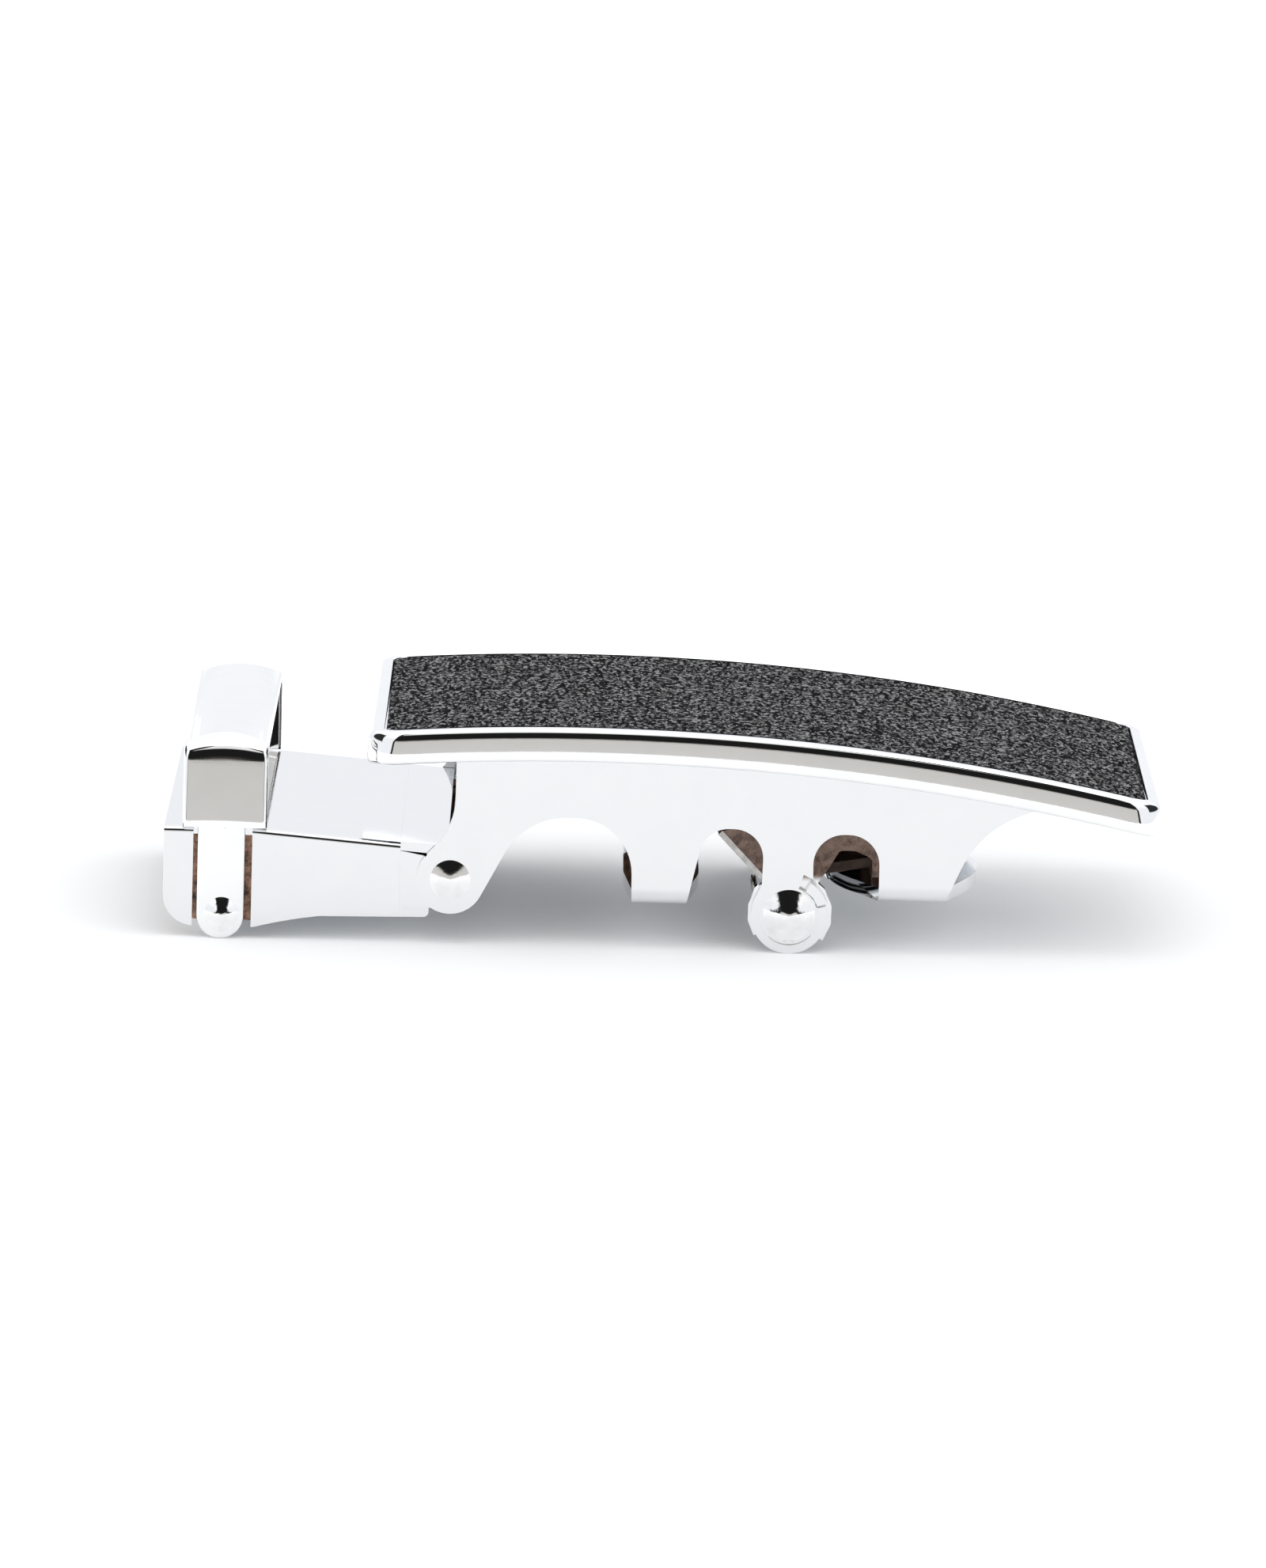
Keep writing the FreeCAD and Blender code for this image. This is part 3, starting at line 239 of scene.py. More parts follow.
def paper():
    """The pale sweep the buckle lies on, with painted light: it glows a little everywhere, and more behind
    and beside the buckle, which lightens its shadow there.
    """
    material, n = new_material("pale_floor")
    point = n.object_point()
    tone = n.noise(point, 0.02, 3.0, 0.5)
    parts = n.add("ShaderNodeSeparateXYZ", {0: point}).outputs
    # Painted light: the floor glows more behind and beside the buckle, so its shadow is lighter there.
    behind = n.span(parts[1], 15.0, 130.0, 0.0, 0.32, smooth=True)
    beside = n.span(n.math("ABSOLUTE", parts[0]), 38.0, 62.0, 0.0, 0.15, smooth=True)
    glow = n.math("ADD", n.math("MAXIMUM", behind, beside), 0.13)
    lift = n.blend(glow, rgb(0, 0, 0), rgb(0.88, 0.94, 1.0))
    inputs = {"Base Color": n.blend(tone, rgb(0.80, 0.80, 0.80), rgb(0.79, 0.79, 0.792)), "Roughness": 0.9,
              "Emission Color": lift, "Emission Strength": 1.0}
    n.finish(n.add("ShaderNodeBsdfPrincipled", inputs))
    return material


def film():
    """Milky double-sided film."""
    material, n = new_material("clear_film")
    tone = n.noise(n.object_point(), 2.0, 4.0, 0.6)
    inputs = {"Base Color": n.blend(tone, rgb(0.62, 0.61, 0.55), rgb(0.74, 0.73, 0.68)),
              "Roughness": n.span(tone, 0.3, 0.7, 0.25, 0.4), "Transmission Weight": 0.35, "IOR": 1.47}
    n.finish(n.add("ShaderNodeBsdfPrincipled", inputs))
    return material


CAST = metal("cast_chrome", (0.90, 0.905, 0.91), (0.87, 0.875, 0.88), 0.03, 0.03, 0.003, 0.0003)
SHEET = metal("sheet_chrome", *SHEET_TONES, 0.05, 0.05, 0.003, 0.0004)
PIN = metal("pin_chrome", (0.92, 0.92, 0.92), (0.84, 0.84, 0.835), 0.04, 0.08, 0.01, 0.0012, 1.2)
INNER = metal("inner_strike", (0.80, 0.82, 0.85), (0.72, 0.74, 0.78), 0.12, 0.1, 0.01, 0.002, 0.9,
              bare=(0, -8, 19.5, STRIKE))
FRAME = metal("frame_chrome", *SHEET_TONES, 0.06, 0.06, 0.003, 0.0004, bare=(0, -40, -30, STRIKE))
COPPER = metal("copper_strike", (0.36, 0.215, 0.155), (0.16, 0.09, 0.065), 0.3, 0.25, 0.05, 0.01, 0.9)
# Above 5.7 mm the yoke shows the darker strike copy: brown plating with painted shade, deep inside the
# buckle.
YOKE = metal("yoke_chrome", *SHEET_TONES, 0.06, 0.06, 0.003, 0.0004, bare=(2, 5.7, 60, SHADED))
# Painted shade: a near-black copy of the strike plating for the pawl's blade, deep inside the buckle.
SHADE = metal("shaded_strike", (0.05, 0.036, 0.03), (0.02, 0.015, 0.013), 0.3, 0.2, 0.02, 0.006, 0.7)
STEEL = metal("spring_steel", (0.5, 0.49, 0.47), (0.32, 0.31, 0.3), 0.22, 0.15, 0.005, 0.003, 1.5)
CLOTH = cloth()
BOARD = matte("grey_board", (0.2, 0.2, 0.21), (0.1, 0.1, 0.105), 0.75, 0.02)
FILM = film()
FLOOR = paper()


# ---------------------------------------------------------------- mesh helpers

def place(name, mesh, body, slot, materials, nodes=()):
    """Adds a piece to the scene on its body, with its finish, and hides the CAD nodes it stands for."""
    piece = bpy.data.objects.new(name, mesh)
    scene.collection.objects.link(piece)
    for material in materials:
        mesh.materials.append(material)
    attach(piece, body)
    if nodes:
        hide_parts(*nodes)
    return piece


def smooth(mesh, angle=35.0):
    mesh.shade_smooth()
    mesh.set_sharp_from_angle(angle=math.radians(angle))


def to_mesh(name, points, faces):
    """A mesh of quads and n-gons with consistent outward normals."""
    mesh = bpy.data.meshes.new(name)
    mesh.from_pydata([tuple(p) for p in points], [], faces)
    work = bmesh.new()
    work.from_mesh(mesh)
    bmesh.ops.remove_doubles(work, verts=work.verts, dist=1e-7)
    bmesh.ops.recalc_face_normals(work, faces=work.faces)
    work.to_mesh(mesh)
    work.free()
    return mesh


def tube_faces(rings, count, closed=True):
    """Quads between each ring of points and the next."""
    faces = []
    for r in range(rings - 1):
        for i in range(count if closed else count - 1):
            j = (i + 1) % count
            faces.append((r * count + i, r * count + j, (r + 1) * count + j, (r + 1) * count + i))
    return faces


# Points closer than WELD, in metres, are joined; edges flatter than FLAT degrees are dissolved; edges
# sharper than SHARP degrees are rounded.
WELD, FLAT, SHARP = 2e-6, 0.6, 28.0


def polish(node, slot, materials, bevel, inside=None):
    """A smooth copy of a CAD node: welded, flat faces joined, edges rounded by bevel millimetres.

    inside gives a face's place in materials, from its centre and normal.
    """
    source = frame["nodes"][node]
    mesh = bpy.data.meshes.new(node + "_mesh")
    work = bmesh.new()
    work.from_mesh(source.data)
    bmesh.ops.remove_doubles(work, verts=work.verts, dist=WELD)
    bmesh.ops.dissolve_limit(work, angle_limit=math.radians(FLAT), verts=work.verts, edges=work.edges,
                             use_dissolve_boundaries=False)
    bmesh.ops.dissolve_degenerate(work, edges=work.edges, dist=WELD)
    bmesh.ops.recalc_face_normals(work, faces=work.faces)
    work.to_mesh(mesh)
    work.free()
    mesh.materials.clear()
    smooth(mesh, SHARP)
    piece = place(node + "_piece", mesh, source["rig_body"], slot, materials, (node,))
    rounding = piece.modifiers.new("edges", "BEVEL")
    rounding.width = bevel * MM
    rounding.segments = 3
    rounding.limit_method = "ANGLE"
    rounding.angle_limit = math.radians(SHARP)
    rounding.use_clamp_overlap = True
    rounding.harden_normals = True
    weights = piece.modifiers.new("flats", "WEIGHTED_NORMAL")
    weights.keep_sharp = True
    weights.weight = 90
    if inside:
        for face in mesh.polygons:
            face.material_index = int(inside(face.center, face.normal))
    return piece


def lathe(profile, centre, count=72):
    """Points and faces of a solid turned about the Y axis; profile is (radius, y) from end to end."""
    points = []
    for radius, y in profile:
        for i in range(count):
            angle = 2 * math.pi * i / count
            points.append((centre.x + radius * math.cos(angle), y, centre.z + radius * math.sin(angle)))
    faces = tube_faces(len(profile), count)
    faces.append(tuple(range(count)))
    faces.append(tuple(range(len(points) - count, len(points))))
    return points, faces


def arc_points(cx, cy, radius, start, end, steps):
    """Points of an arc between two angles in degrees."""
    angles = [math.radians(start + (end - start) * i / steps) for i in range(steps + 1)]
    return [(cx + radius * math.cos(a), cy + radius * math.sin(a)) for a in angles]


# ---------------------------------------------------------------- face plate and inlay

CROWN_X = -5.4 * MM
CROWN_RADIUS = 198 * MM
CROWN_CENTRE = PLATE_HIGH.z - CROWN_RADIUS
PLATE_CORNER = 2.8 * MM


def over_plate(x, y, depth):
    """A point of the plate: its place in plan and its depth under the crowned top."""
    radius = CROWN_RADIUS - depth
    return (x, y, CROWN_CENTRE + math.sqrt(radius ** 2 - (x - CROWN_X) ** 2))


def plan_ring(inset, corner, straight=64, turn=10):
    """Points of the plate's outline in plan, moved in by inset."""
    x0, x1 = PLATE_LOW.x + inset, PLATE_HIGH.x - inset
    y0, y1 = PLATE_LOW.y + inset, PLATE_HIGH.y - inset
    corner = max(corner - inset, 0.22 * MM)
    ring = []
    for cx, cy, start in ((x1 - corner, y0 + corner, -90), (x1 - corner, y1 - corner, 0),
                          (x0 + corner, y1 - corner, 90), (x0 + corner, y0 + corner, 180)):
        ring += arc_points(cx, cy, corner, start, start + 90, turn)
        if start == 0:
            ring += [(x1 - corner + (x0 - x1 + 2 * corner) * i / straight, y1)
                     for i in range(1, straight)]
    ring += [(x0 + corner + (x1 - x0 - 2 * corner) * i / straight, y0) for i in range(1, straight)]
    return ring


def cap(ring, first, x_of):
    """Faces that close a plan ring, each joining the near side to the far side."""
    order = sorted(range(len(ring)), key=lambda i: (round(x_of(i), 7), ring[i][1]))
    columns = []
    for i in order:
        if columns and abs(x_of(i) - x_of(columns[-1][0])) < 1e-7:
            columns[-1].append(i)
        else:
            columns.append([i])
    faces = []
    for a, b in zip(columns, columns[1:]):
        faces.append(tuple(first + i for i in a + b[::-1]))
    return faces


def shoulder():
    """(inset, depth) of the plate's edge, from the recess floor over the rim to the underside."""
    rim, recess, thick = 1.3, 1.0, 2.5
    lip = [(rim, recess), (rim, 0.10), (rim - 0.03, 0.04), (rim - 0.10, 0.0), (0.85, 0.0)]
    # Depth, and how far the side leans in there, in degrees.
    leans = [(0.0, 88), (0.012, 80), (0.03, 70), (0.06, 60), (0.10, 50), (0.15, 40),
             (0.22, 32), (0.32, 24), (0.45, 17), (0.6, 12), (0.7, 9.8), (0.9, 8.6),
             (1.2, 7.4), (1.5, 6.2), (1.75, 4.6), (1.95, 1.0)]
    side, run = [(0.0, leans[-1][0])], 0.0
    for (upper, first), (lower, second) in reversed(list(zip(leans, leans[1:]))):
        run += (lower - upper) * math.tan(math.radians((first + second) / 2))
        side.insert(0, (run, upper))
    under = [(0.0, 2.25), (0.02, 2.36), (0.07, 2.45), (0.15, 2.49), (0.25, thick), (0.6, thick)]
    return [(inset * MM, depth * MM) for inset, depth in lip + side + under]


def make_plate():
    """The face plate: its edge profile carried round the plan, closed above and below."""
    profile = shoulder()
    rings = [plan_ring(inset, PLATE_CORNER) for inset, depth in profile]
    count = len(rings[0])
    points = []
    for ring, (inset, depth) in zip(rings, profile):
        points += [over_plate(x, y, depth) for x, y in ring]
    faces = tube_faces(len(rings), count)
    last = (len(rings) - 1) * count
    for ring, first in ((rings[0], 0), (rings[-1], last)):
        faces += cap(ring, first, lambda i, ring=ring: ring[i][0])
    mesh = to_mesh("face_plate_mesh", points, faces)
    smooth(mesh, 40.0)
    place("face_plate_piece", mesh, "housing", "cast_chrome", [CAST], ("face_plate",))


def make_cloth():
    """The inlay: a cut sheet whose knit stands up as relief and whose edges turn down a little."""
    low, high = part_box("inlay_fabric")
    top = CROWN_CENTRE + CROWN_RADIUS - high.z
    thick, turn_down = 0.5 * MM, 0.12 * MM
    nx, ny, strand = 330, 210, 6
    rng = np.random.default_rng(11)
    xs = np.linspace(low.x, high.x, nx)
    ys = np.linspace(low.y, high.y, ny)
    gx, gy = np.meshgrid(xs, ys, indexing="ij")
    edge = np.minimum(np.minimum(gx - low.x, high.x - gx), np.minimum(gy - low.y, high.y - gy))
    drop = turn_down * np.exp(-edge / turn_down)
    wander = rng.random((nx // strand + 2, ny)) * 2 - 1
    rows = np.repeat(wander, strand, axis=0)[:nx]
    course, wale = 0.74, 0.62
    stitch = np.sin(gx / MM * 2 * math.pi / course + 1.3 * rows) * np.cos(gy / MM * 2 * math.pi / wale)
    relief = 0.02 * MM * (1 - stitch) + 0.012 * MM * (1 - rows)
    depth = top + drop + relief
    radius = CROWN_RADIUS - depth
    gz = CROWN_CENTRE + np.sqrt(radius ** 2 - (gx - CROWN_X) ** 2)
    points = list(zip(gx.ravel(), gy.ravel(), gz.ravel()))
    faces = [(i * ny + j, (i + 1) * ny + j, (i + 1) * ny + j + 1, i * ny + j + 1)
             for i in range(nx - 1) for j in range(ny - 1)]
    border = [i * ny for i in range(nx)]
    border += [(nx - 1) * ny + j for j in range(1, ny)]
    border += [i * ny + ny - 1 for i in reversed(range(nx - 1))]
    border += list(reversed(range(1, ny - 1)))
    base = len(points)
    for i in border:
        x, y, _ = points[i]
        points.append(over_plate(x, y, top + thick))
    size = len(border)
    for i in range(size):
        j = (i + 1) % size
        faces.append((border[i], base + i, base + j, border[j]))
    ring = [points[base + i][:2] for i in range(size)]
    faces += cap(ring, base, lambda i: ring[i][0])
    mesh = to_mesh("inlay_fabric_mesh", points, faces)
    smooth(mesh, 50.0)
    piece = place("inlay_fabric_piece", mesh, "housing", "charcoal_cloth", [CLOTH], ("inlay_fabric",))


# ---------------------------------------------------------------- pins and rivets

def dome(radius, height, at, outward, steps=22):
    """(radius, y) of a domed head from its rim to near its top, most curved in the middle."""
    steepest, blunt = 36, 0.16
    shares = [i / steps for i in range(steps + 1)]
    slopes = [math.tan(math.radians(steepest * share / (share + blunt))) for share in shares]
    fall = [0.0]
    for a, b in zip(slopes, slopes[1:]):
        fall.append(fall[-1] + (a + b) / 2)
    rows = [(radius * max(share, 0.004), at + outward * height * (1 - drop / fall[-1]))
            for share, drop in zip(shares, fall)]
    return rows[::-1]


def make_pin(node, height, shank, rim):
    """A pin in its CAD box: a shank, and heads of this height with a straight rim; in millimetres."""
    low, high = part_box(node)
    centre = Vector(((low.x + high.x) / 2, 0, (low.z + high.z) / 2))
    head = (high.z - low.z) / 2
    height, shank, rim = height * MM, shank * MM, rim * MM
    near = dome(head, height - rim, low.y + height - rim, -1)[::-1]
    near += [(head, low.y + height), (shank, low.y + height)]
    far = [(shank, high.y - height), (head, high.y - height)]
    far += dome(head, height - rim, high.y - height + rim, 1)
    points, faces = lathe(near + far, centre)
    mesh = to_mesh(node + "_mesh", points, faces)
    smooth(mesh, 38.0)
    place(node + "_piece", mesh, frame["nodes"][node]["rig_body"], "pin_chrome", [PIN], (node,))


# ---------------------------------------------------------------- keeper loop

def loop_path(low, high):
    """Stations of the loop's outer face over the block: (y, z, lean), lean 0 upright and 90 flat."""
    half = (high.y - low.y) / 2
    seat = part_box("clamp_cover")[1].z
    corner, foot = 1.9 * MM, 0.35 * MM
    path = [(0.0, seat, 0.0), (0.0, seat + foot, 2.0)]
    steps = 14
    rise = high.z - seat - corner * 0.92
    inset = 0.0
    for i in range(1, steps + 1):
        lean = 5.6 + 3.6 * i / steps
        inset += rise / steps * math.tan(math.radians(lean))
        path.append((inset, seat + foot + (rise - foot) * i / steps, lean))
    inset_end, z_end, lean_end = path[-1]
    turns = 12
    for i in range(1, turns + 1):
        lean = lean_end + (90 - lean_end) * i / turns
        step = corner * math.radians((90 - lean_end) / turns)
        middle = math.radians(lean - (90 - lean_end) / turns / 2)
        inset_end += step * math.sin(middle)
        z_end += step * math.cos(middle)
        path.append((inset_end, z_end, lean))
    lift = high.z - path[-1][1]
    path = [(a, z + lift * (i / (len(path) - 1)), t) for i, (a, z, t) in enumerate(path)]
    near = [(MIDDLE - half + a, z, t) for a, z, t in path]
    far = [(MIDDLE + half - a, z, 180 - t) for a, z, t in reversed(path)]
    return near + far


def loop_section(crown):
    """(across, out) of the loop's band: flat inside, crowned outside, rounded edges."""
    half, thick, edge = 3.24, 1.2, 0.42
    steps = 16
    outer = []
    for i in range(steps + 1):
        u = -1 + 2 * i / steps
        outer.append((u * (half - edge), -crown * abs(u) ** 2.2))
    left = [(-half + edge - edge * math.sin(a), -crown - edge + edge * math.cos(a))
            for a in [math.radians(d) for d in (90, 75, 60, 45, 30, 15)]]
    right = [(-x, z) for x, z in reversed(left)]
    under = -thick
    bottom = [(-half + 0.22, under), (-half + 0.08, under + 0.05), (-half, under + 0.14)]
    section = bottom + left + outer + right + [(-x, z) for x, z in reversed(bottom)]
    return [(x * MM, z * MM) for x, z in section]


def make_loop():
    """The keeper loop: a crowned band bent over the strap, and a flat leg under each end."""
    low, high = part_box("keeper_loop")
    centre_x = (low.x + high.x) / 2
    path = loop_path(low, high)
    points, count = [], 0
    for y, z, lean in path:
        flat = 1 - abs(lean - 90) / 90
        section = loop_section(0.04 + 0.6 * flat ** 1.5)
        count = len(section)
        a = math.radians(lean)
        normal = Vector((0, -math.cos(a), math.sin(a)))
        for across, out in section:
            points.append((centre_x + across, y + normal.y * out, z + normal.z * out))
    faces = tube_faces(len(path), count)
    faces.append(tuple(range(count)))
    faces.append(tuple(range(len(points) - count, len(points))))
    arch = to_mesh("keeper_loop_mesh", points, faces)
    leg_x, leg_half, edge = centre_x - 0.22 * MM, 1.82 * MM, 0.16 * MM
    leg_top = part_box("clamp_cover")[1].z + 0.02 * MM
    middle = low.z + leg_half
    layers = [(edge, 0.0), (edge * 0.4, 0.3 * edge), (0.0, edge), (0.0, 0.9 * MM), (0.05 * MM, 1.05 * MM)]
    work = bmesh.new()
    work.from_mesh(arch)
    for sign in (-1, 1):
        out = MIDDLE + sign * (high.y - low.y) / 2
        outline = [(leg_half, leg_top), (-leg_half, leg_top)]
        outline += arc_points(0, middle, leg_half, 180, 360, 24)
        rows = []
        for inset, depth in layers:
            shrink = (leg_half - inset) / leg_half
            ring = []
            for x, z in outline:
                height = z if z > middle else middle + (z - middle) * shrink
                ring.append((leg_x + x * shrink, out - sign * depth, height))
            rows.append([work.verts.new(p) for p in ring])
        for a, b in zip(rows, rows[1:]):
            for i in range(len(a)):
                j = (i + 1) % len(a)
                work.faces.new((a[i], a[j], b[j], b[i]))
        work.faces.new(rows[0])
        work.faces.new(rows[-1])
    bmesh.ops.recalc_face_normals(work, faces=work.faces)
    work.to_mesh(arch)
    work.free()
    smooth(arch, 40.0)
    place("keeper_loop_piece", arch, "clamp", "cast_chrome", [CAST], ("keeper_loop",))


# ---------------------------------------------------------------- springs

def wire_tube(path, radius, count=14):
    """Points and faces of a round wire along a path, closed at both ends."""
    path = [Vector(p) for p in path]
    points = []
    normal = None
    for i, point in enumerate(path):
        ahead = path[min(i + 1, len(path) - 1)]
        behind = path[max(i - 1, 0)]
        direction = (ahead - behind).normalized()
        if normal is None:
            normal = direction.orthogonal().normalized()
        normal = (normal - direction * normal.dot(direction)).normalized()
        side = direction.cross(normal)
        for k in range(count):
            a = 2 * math.pi * k / count
            points.append(point + (normal * math.cos(a) + side * math.sin(a)) * radius)
    faces = tube_faces(len(path), count)
    faces.append(tuple(range(count)))
    faces.append(tuple(range(len(points) - count, len(points))))
    return points, faces


def make_spring(node, sign):
    """A torsion spring: a leg and a coil on the housing, and a hook that turns with the pawl."""
    centre = JOINTS["pawl_hinge"]
    wire, radius, pitch, gap = 0.25 * MM, 2.3 * MM, 0.54 * MM, 0.05 * MM
    inner, reach, bend = 14.3 * MM, 3.2 * MM, 0.6 * MM
    blade, half_blade = math.radians(134), 0.2 * MM
    foot = Vector(over_plate(10.3 * MM, 0, 3.5 * MM)) - Vector((0, 0, wire + gap))
    aside = half_blade + wire + gap
    hook = Vector((centre.x + reach * math.cos(blade) - aside * math.sin(blade), 0,
                   centre.z + reach * math.sin(blade) + aside * math.cos(blade)))
    angles, legs = [], []
    for point, turn in ((foot, -1), (hook, 1)):
        dx, dz = point.x - centre.x, point.z - centre.z
        far = math.hypot(dx, dz)
        angles.append(math.atan2(dz, dx) + turn * math.acos(radius / far))
        legs.append(math.sqrt(far ** 2 - radius ** 2))
    turns = 3 + ((angles[0] - angles[1]) / (2 * math.pi)) % 1

    def coil_point(share):
        a = angles[0] - 2 * math.pi * turns * share
        y = -(inner + pitch * turns * (1 - share))
        return Vector((centre.x + radius * math.cos(a), MIDDLE - sign * y, centre.z + radius * math.sin(a)))

    steps = 150
    coil = [coil_point(i / steps) for i in range(steps + 1)]
    lead = (coil[0] - coil[1]).normalized()
    leave = (coil[-1] - coil[-2]).normalized()
    first = [coil[0] + lead * legs[0] * (1 - i / 6) for i in range(6)]
    points, faces = wire_tube(first + coil, wire)
    mesh = to_mesh(node + "_coil_mesh", points, faces)
    smooth(mesh, 60.0)
    place(node + "_coil", mesh, "housing", "spring_steel", [STEEL], (node,))
    # The hook starts inside the coil's last turn, a little thinner, and turns with the pawl.
    shared, slim = 26, 0.985
    clear_of_rim_shadow = Vector((0, -sign, 0))
    clear_of_rim_shadow = (clear_of_rim_shadow - leave * clear_of_rim_shadow.dot(leave)).normalized()
    straight = legs[1] - bend
    end = [coil[-1] + leave * straight * i / 6 for i in range(1, 7)]
    pivot = end[-1] + clear_of_rim_shadow * bend
    turned = [pivot - clear_of_rim_shadow * bend * math.cos(a) + leave * bend * math.sin(a)
              for a in [math.radians(d) for d in range(10, 91, 10)]]
    tip = [turned[-1] + clear_of_rim_shadow * 1.0 * MM * i / 3 for i in range(1, 4)]
    points, faces = wire_tube(coil[-shared:] + end + turned + tip, wire * slim)
    mesh = to_mesh(node + "_hook_mesh", points, faces)
    smooth(mesh, 60.0)
    place(node + "_hook", mesh, "pawl_assembly", "spring_steel", [STEEL])


# ---------------------------------------------------------------- build

def faces_in(centre, normal):
    """True for the faces of a side wall that look towards the middle of the buckle."""
    return normal.y * (centre.y - MIDDLE) < -1e-6 and abs(normal.y) > 0.9


def pawl_finish(centre, normal):
    """Place in the pawl's materials: chrome 0, yoke 1, steel on the ribs 2, shaded on the blade 3."""
    hub, rib, yoke = 2.8 * MM, 0.08 * MM, 3 * MM
    offset = centre - JOINTS["pawl_hinge"]
    aside = abs(centre.y - MIDDLE)
    if abs(normal.y) <= 0.9:
        return int(offset.length > hub)
    if aside > CHEEK_IN:
        return 0
    if aside > CHEEK_IN - rib:
        return 2
    return 3 if aside < CHEEK_IN - yoke else 1


# From the middle of the buckle to the inner face of a cheek.
CHEEK_IN = 18.6 * MM
make_plate()
make_cloth()
polish("chassis", "sheet_chrome", [SHEET, INNER], 0.1,
       lambda c, n: faces_in(c, n) or n.z < -0.5 and c.z > 8 * MM and abs(c.y - MIDDLE) < CHEEK_IN)
polish("clamp_cover", "sheet_chrome", [SHEET, COPPER], 0.12,
       lambda c, n: faces_in(c, n) or n.z < -0.5 and c.z > 5 * MM)
polish("clamp_frame", "sheet_chrome", [FRAME, COPPER], 0.08, faces_in)
polish("clamp_jaw", "sheet_chrome", [SHEET], 0.08)
polish("pawl", "sheet_chrome", [SHEET, YOKE, STEEL, SHADE], 0.06, pawl_finish)
polish("release_lever", "sheet_chrome", [SHEET], 0.1)
polish("lever_rivet", "pin_chrome", [PIN], 0.04)
polish("chassis_rivets", "copper_strike", [COPPER], 0.1)
make_pin("hinge_pin", 0.35, 1.1, 0.03)
make_pin("pawl_pin", 0.75, 1.3, 0.05)
make_pin("clamp_pin", 0.55, 0.85, 0.05)
make_loop()
make_spring("near_spring", -1)
make_spring("far_spring", 1)
for node, material, slot in (("inlay_board", BOARD, "grey_board"), ("adhesive_film", FILM, "clear_film")):
    kept = frame["nodes"][node]
    kept.data.materials.clear()
    kept.data.materials.append(material)

# ---------------------------------------------------------------- studio

floor_mesh = to_mesh("floor_mesh", [(-3, -3, cad_low.z), (3, -3, cad_low.z), (3, 3, cad_low.z),
                                    (-3, 3, cad_low.z)], [(0, 1, 2, 3)])
floor = bpy.data.objects.new("floor", floor_mesh)
scene.collection.objects.link(floor)
floor_mesh.materials.append(FLOOR)

BLACK_CARD = rgb(0.012, 0.012, 0.012)
world = bpy.data.worlds.new("studio")
scene.world = world
w = Nodes(world)
direction = w.add("ShaderNodeTexCoord").outputs["Generated"]
parts = w.add("ShaderNodeSeparateXYZ", {0: direction})
up_share = parts.outputs[2]
front = w.math("MULTIPLY", parts.outputs[1], -1.0)
aside = w.math("ABSOLUTE", parts.outputs[0])
wide = w.math("MULTIPLY_ADD", up_share, 0.62, aside)
facing = w.math("MULTIPLY", w.span(front, 0.30, 0.55, smooth=True),
                w.span(wide, 0.68, 0.72, 1.0, 0.0, smooth=True))
# In front: a warm grey wall, a tall black card over it, and white above.
ramp = w.add("ShaderNodeValToRGB", {0: up_share})
stops = ramp.color_ramp.elements
stops[0].position = 0.0
stops[0].color = rgb(0.68, 0.665, 0.645)
stops[1].position = 0.165
stops[1].color = rgb(0.63, 0.615, 0.59)
for position, colour in ((0.20, rgb(0.05, 0.047, 0.042)), (0.24, BLACK_CARD), (0.67, BLACK_CARD),
                         (0.74, rgb(0.9, 0.9, 0.9))):
    stop = stops.new(position)
    stop.color = colour
border = w.span(wide, 0.60, 0.63, smooth=True)
ahead = w.blend(border, ramp.outputs[0], BLACK_CARD)
# All round: a white tent with a dark card on each flank.
tent = w.blend(w.span(up_share, 0.22, 0.5, smooth=True), rgb(0.97, 0.985, 1.02), rgb(1.12, 1.12, 1.13))
flank = w.math("MULTIPLY", w.span(aside, 0.74, 0.80, smooth=True), w.span(up_share, 0.08, 0.12, smooth=True))
flank = w.math("MULTIPLY", flank, w.span(up_share, 0.55, 0.62, 1.0, 0.0, smooth=True))
flank = w.math("MULTIPLY", flank, w.span(parts.outputs[1], -0.25, -0.18, smooth=True))
lit = w.blend(facing, w.blend(flank, tent, rgb(0.03, 0.03, 0.03)), ahead)
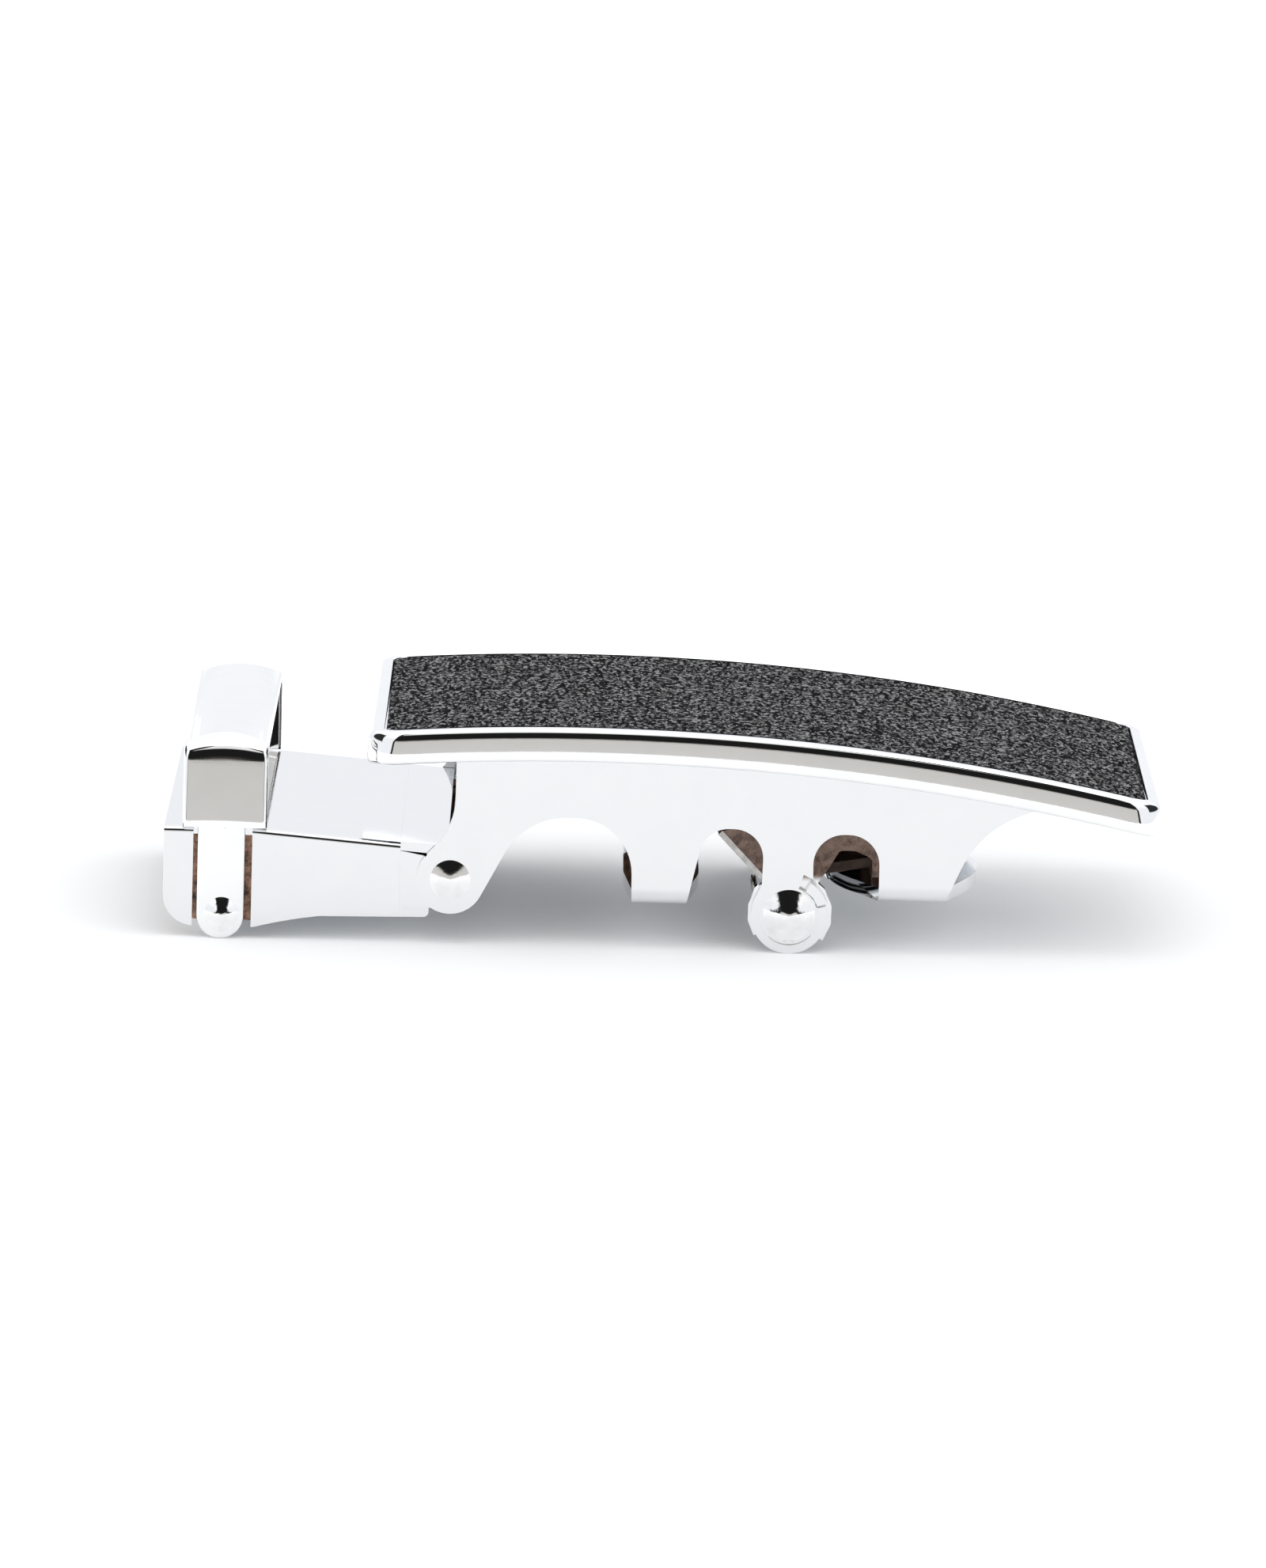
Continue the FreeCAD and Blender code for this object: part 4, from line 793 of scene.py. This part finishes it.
# Dull surfaces get plain soft light, strongest low in front, and the camera sees plain white.
seen = w.add("ShaderNodeLightPath").outputs["Is Camera Ray"]
soft = w.add("ShaderNodeLightPath").outputs["Is Diffuse Ray"]
glow = w.math("MULTIPLY", w.span(front, -0.3, 0.6, 1.0, 1.48, smooth=True),
              w.span(up_share, 0.3, 0.8, 1.5, 0.75, smooth=True))
lit = w.blend(soft, lit, w.add("ShaderNodeCombineXYZ", {0: glow, 1: glow, 2: glow}).outputs[0])
lit = w.blend(seen, lit, rgb(1, 1, 1))
background = w.add("ShaderNodeBackground", {"Color": lit, "Strength": 1.0})
world_out = w.add("ShaderNodeOutputWorld")
w.tree.links.new(background.outputs[0], world_out.inputs[0])

lamp = bpy.data.lights.new("overhead", "AREA")
lamp.shape = "RECTANGLE"
lamp.size, lamp.size_y = 0.5, 0.4
lamp.energy = 0.7
overhead = bpy.data.objects.new("overhead", lamp)
overhead.location = (0.0, -0.22, 0.72)
overhead.rotation_euler = (-overhead.location).to_track_quat("-Z", "Y").to_euler()
scene.collection.objects.link(overhead)

scene.view_settings.view_transform = "Standard"
scene.view_settings.look = "None"

# ---------------------------------------------------------------- camera

AZIMUTH, ELEVATION, ROLL = math.radians(-0.258), math.radians(9.377), math.radians(1.563)
DISTANCE, LENS = 0.9446, 276.8
aim = Vector((-2.418 * MM, 0, 9.353 * MM))
back = Vector((math.sin(AZIMUTH) * math.cos(ELEVATION), -math.cos(AZIMUTH) * math.cos(ELEVATION),
               math.sin(ELEVATION)))
camera_data = bpy.data.cameras.new("camera")
camera_data.lens = LENS
camera_data.sensor_width = 36
camera_data.clip_start = 0.01
camera_data.clip_end = 20
camera = bpy.data.objects.new("camera", camera_data)
right = (-back).cross(Vector((0, 0, 1))).normalized()
up = right.cross(-back)
turned_right = right * math.cos(ROLL) + up * math.sin(ROLL)
turned_up = up * math.cos(ROLL) - right * math.sin(ROLL)
rotation = Matrix((turned_right, turned_up, back)).transposed()
camera.matrix_world = Matrix.Translation(aim + back * DISTANCE) @ rotation.to_4x4()
scene.collection.objects.link(camera)
scene.camera = camera

bpy.context.view_layer.update()
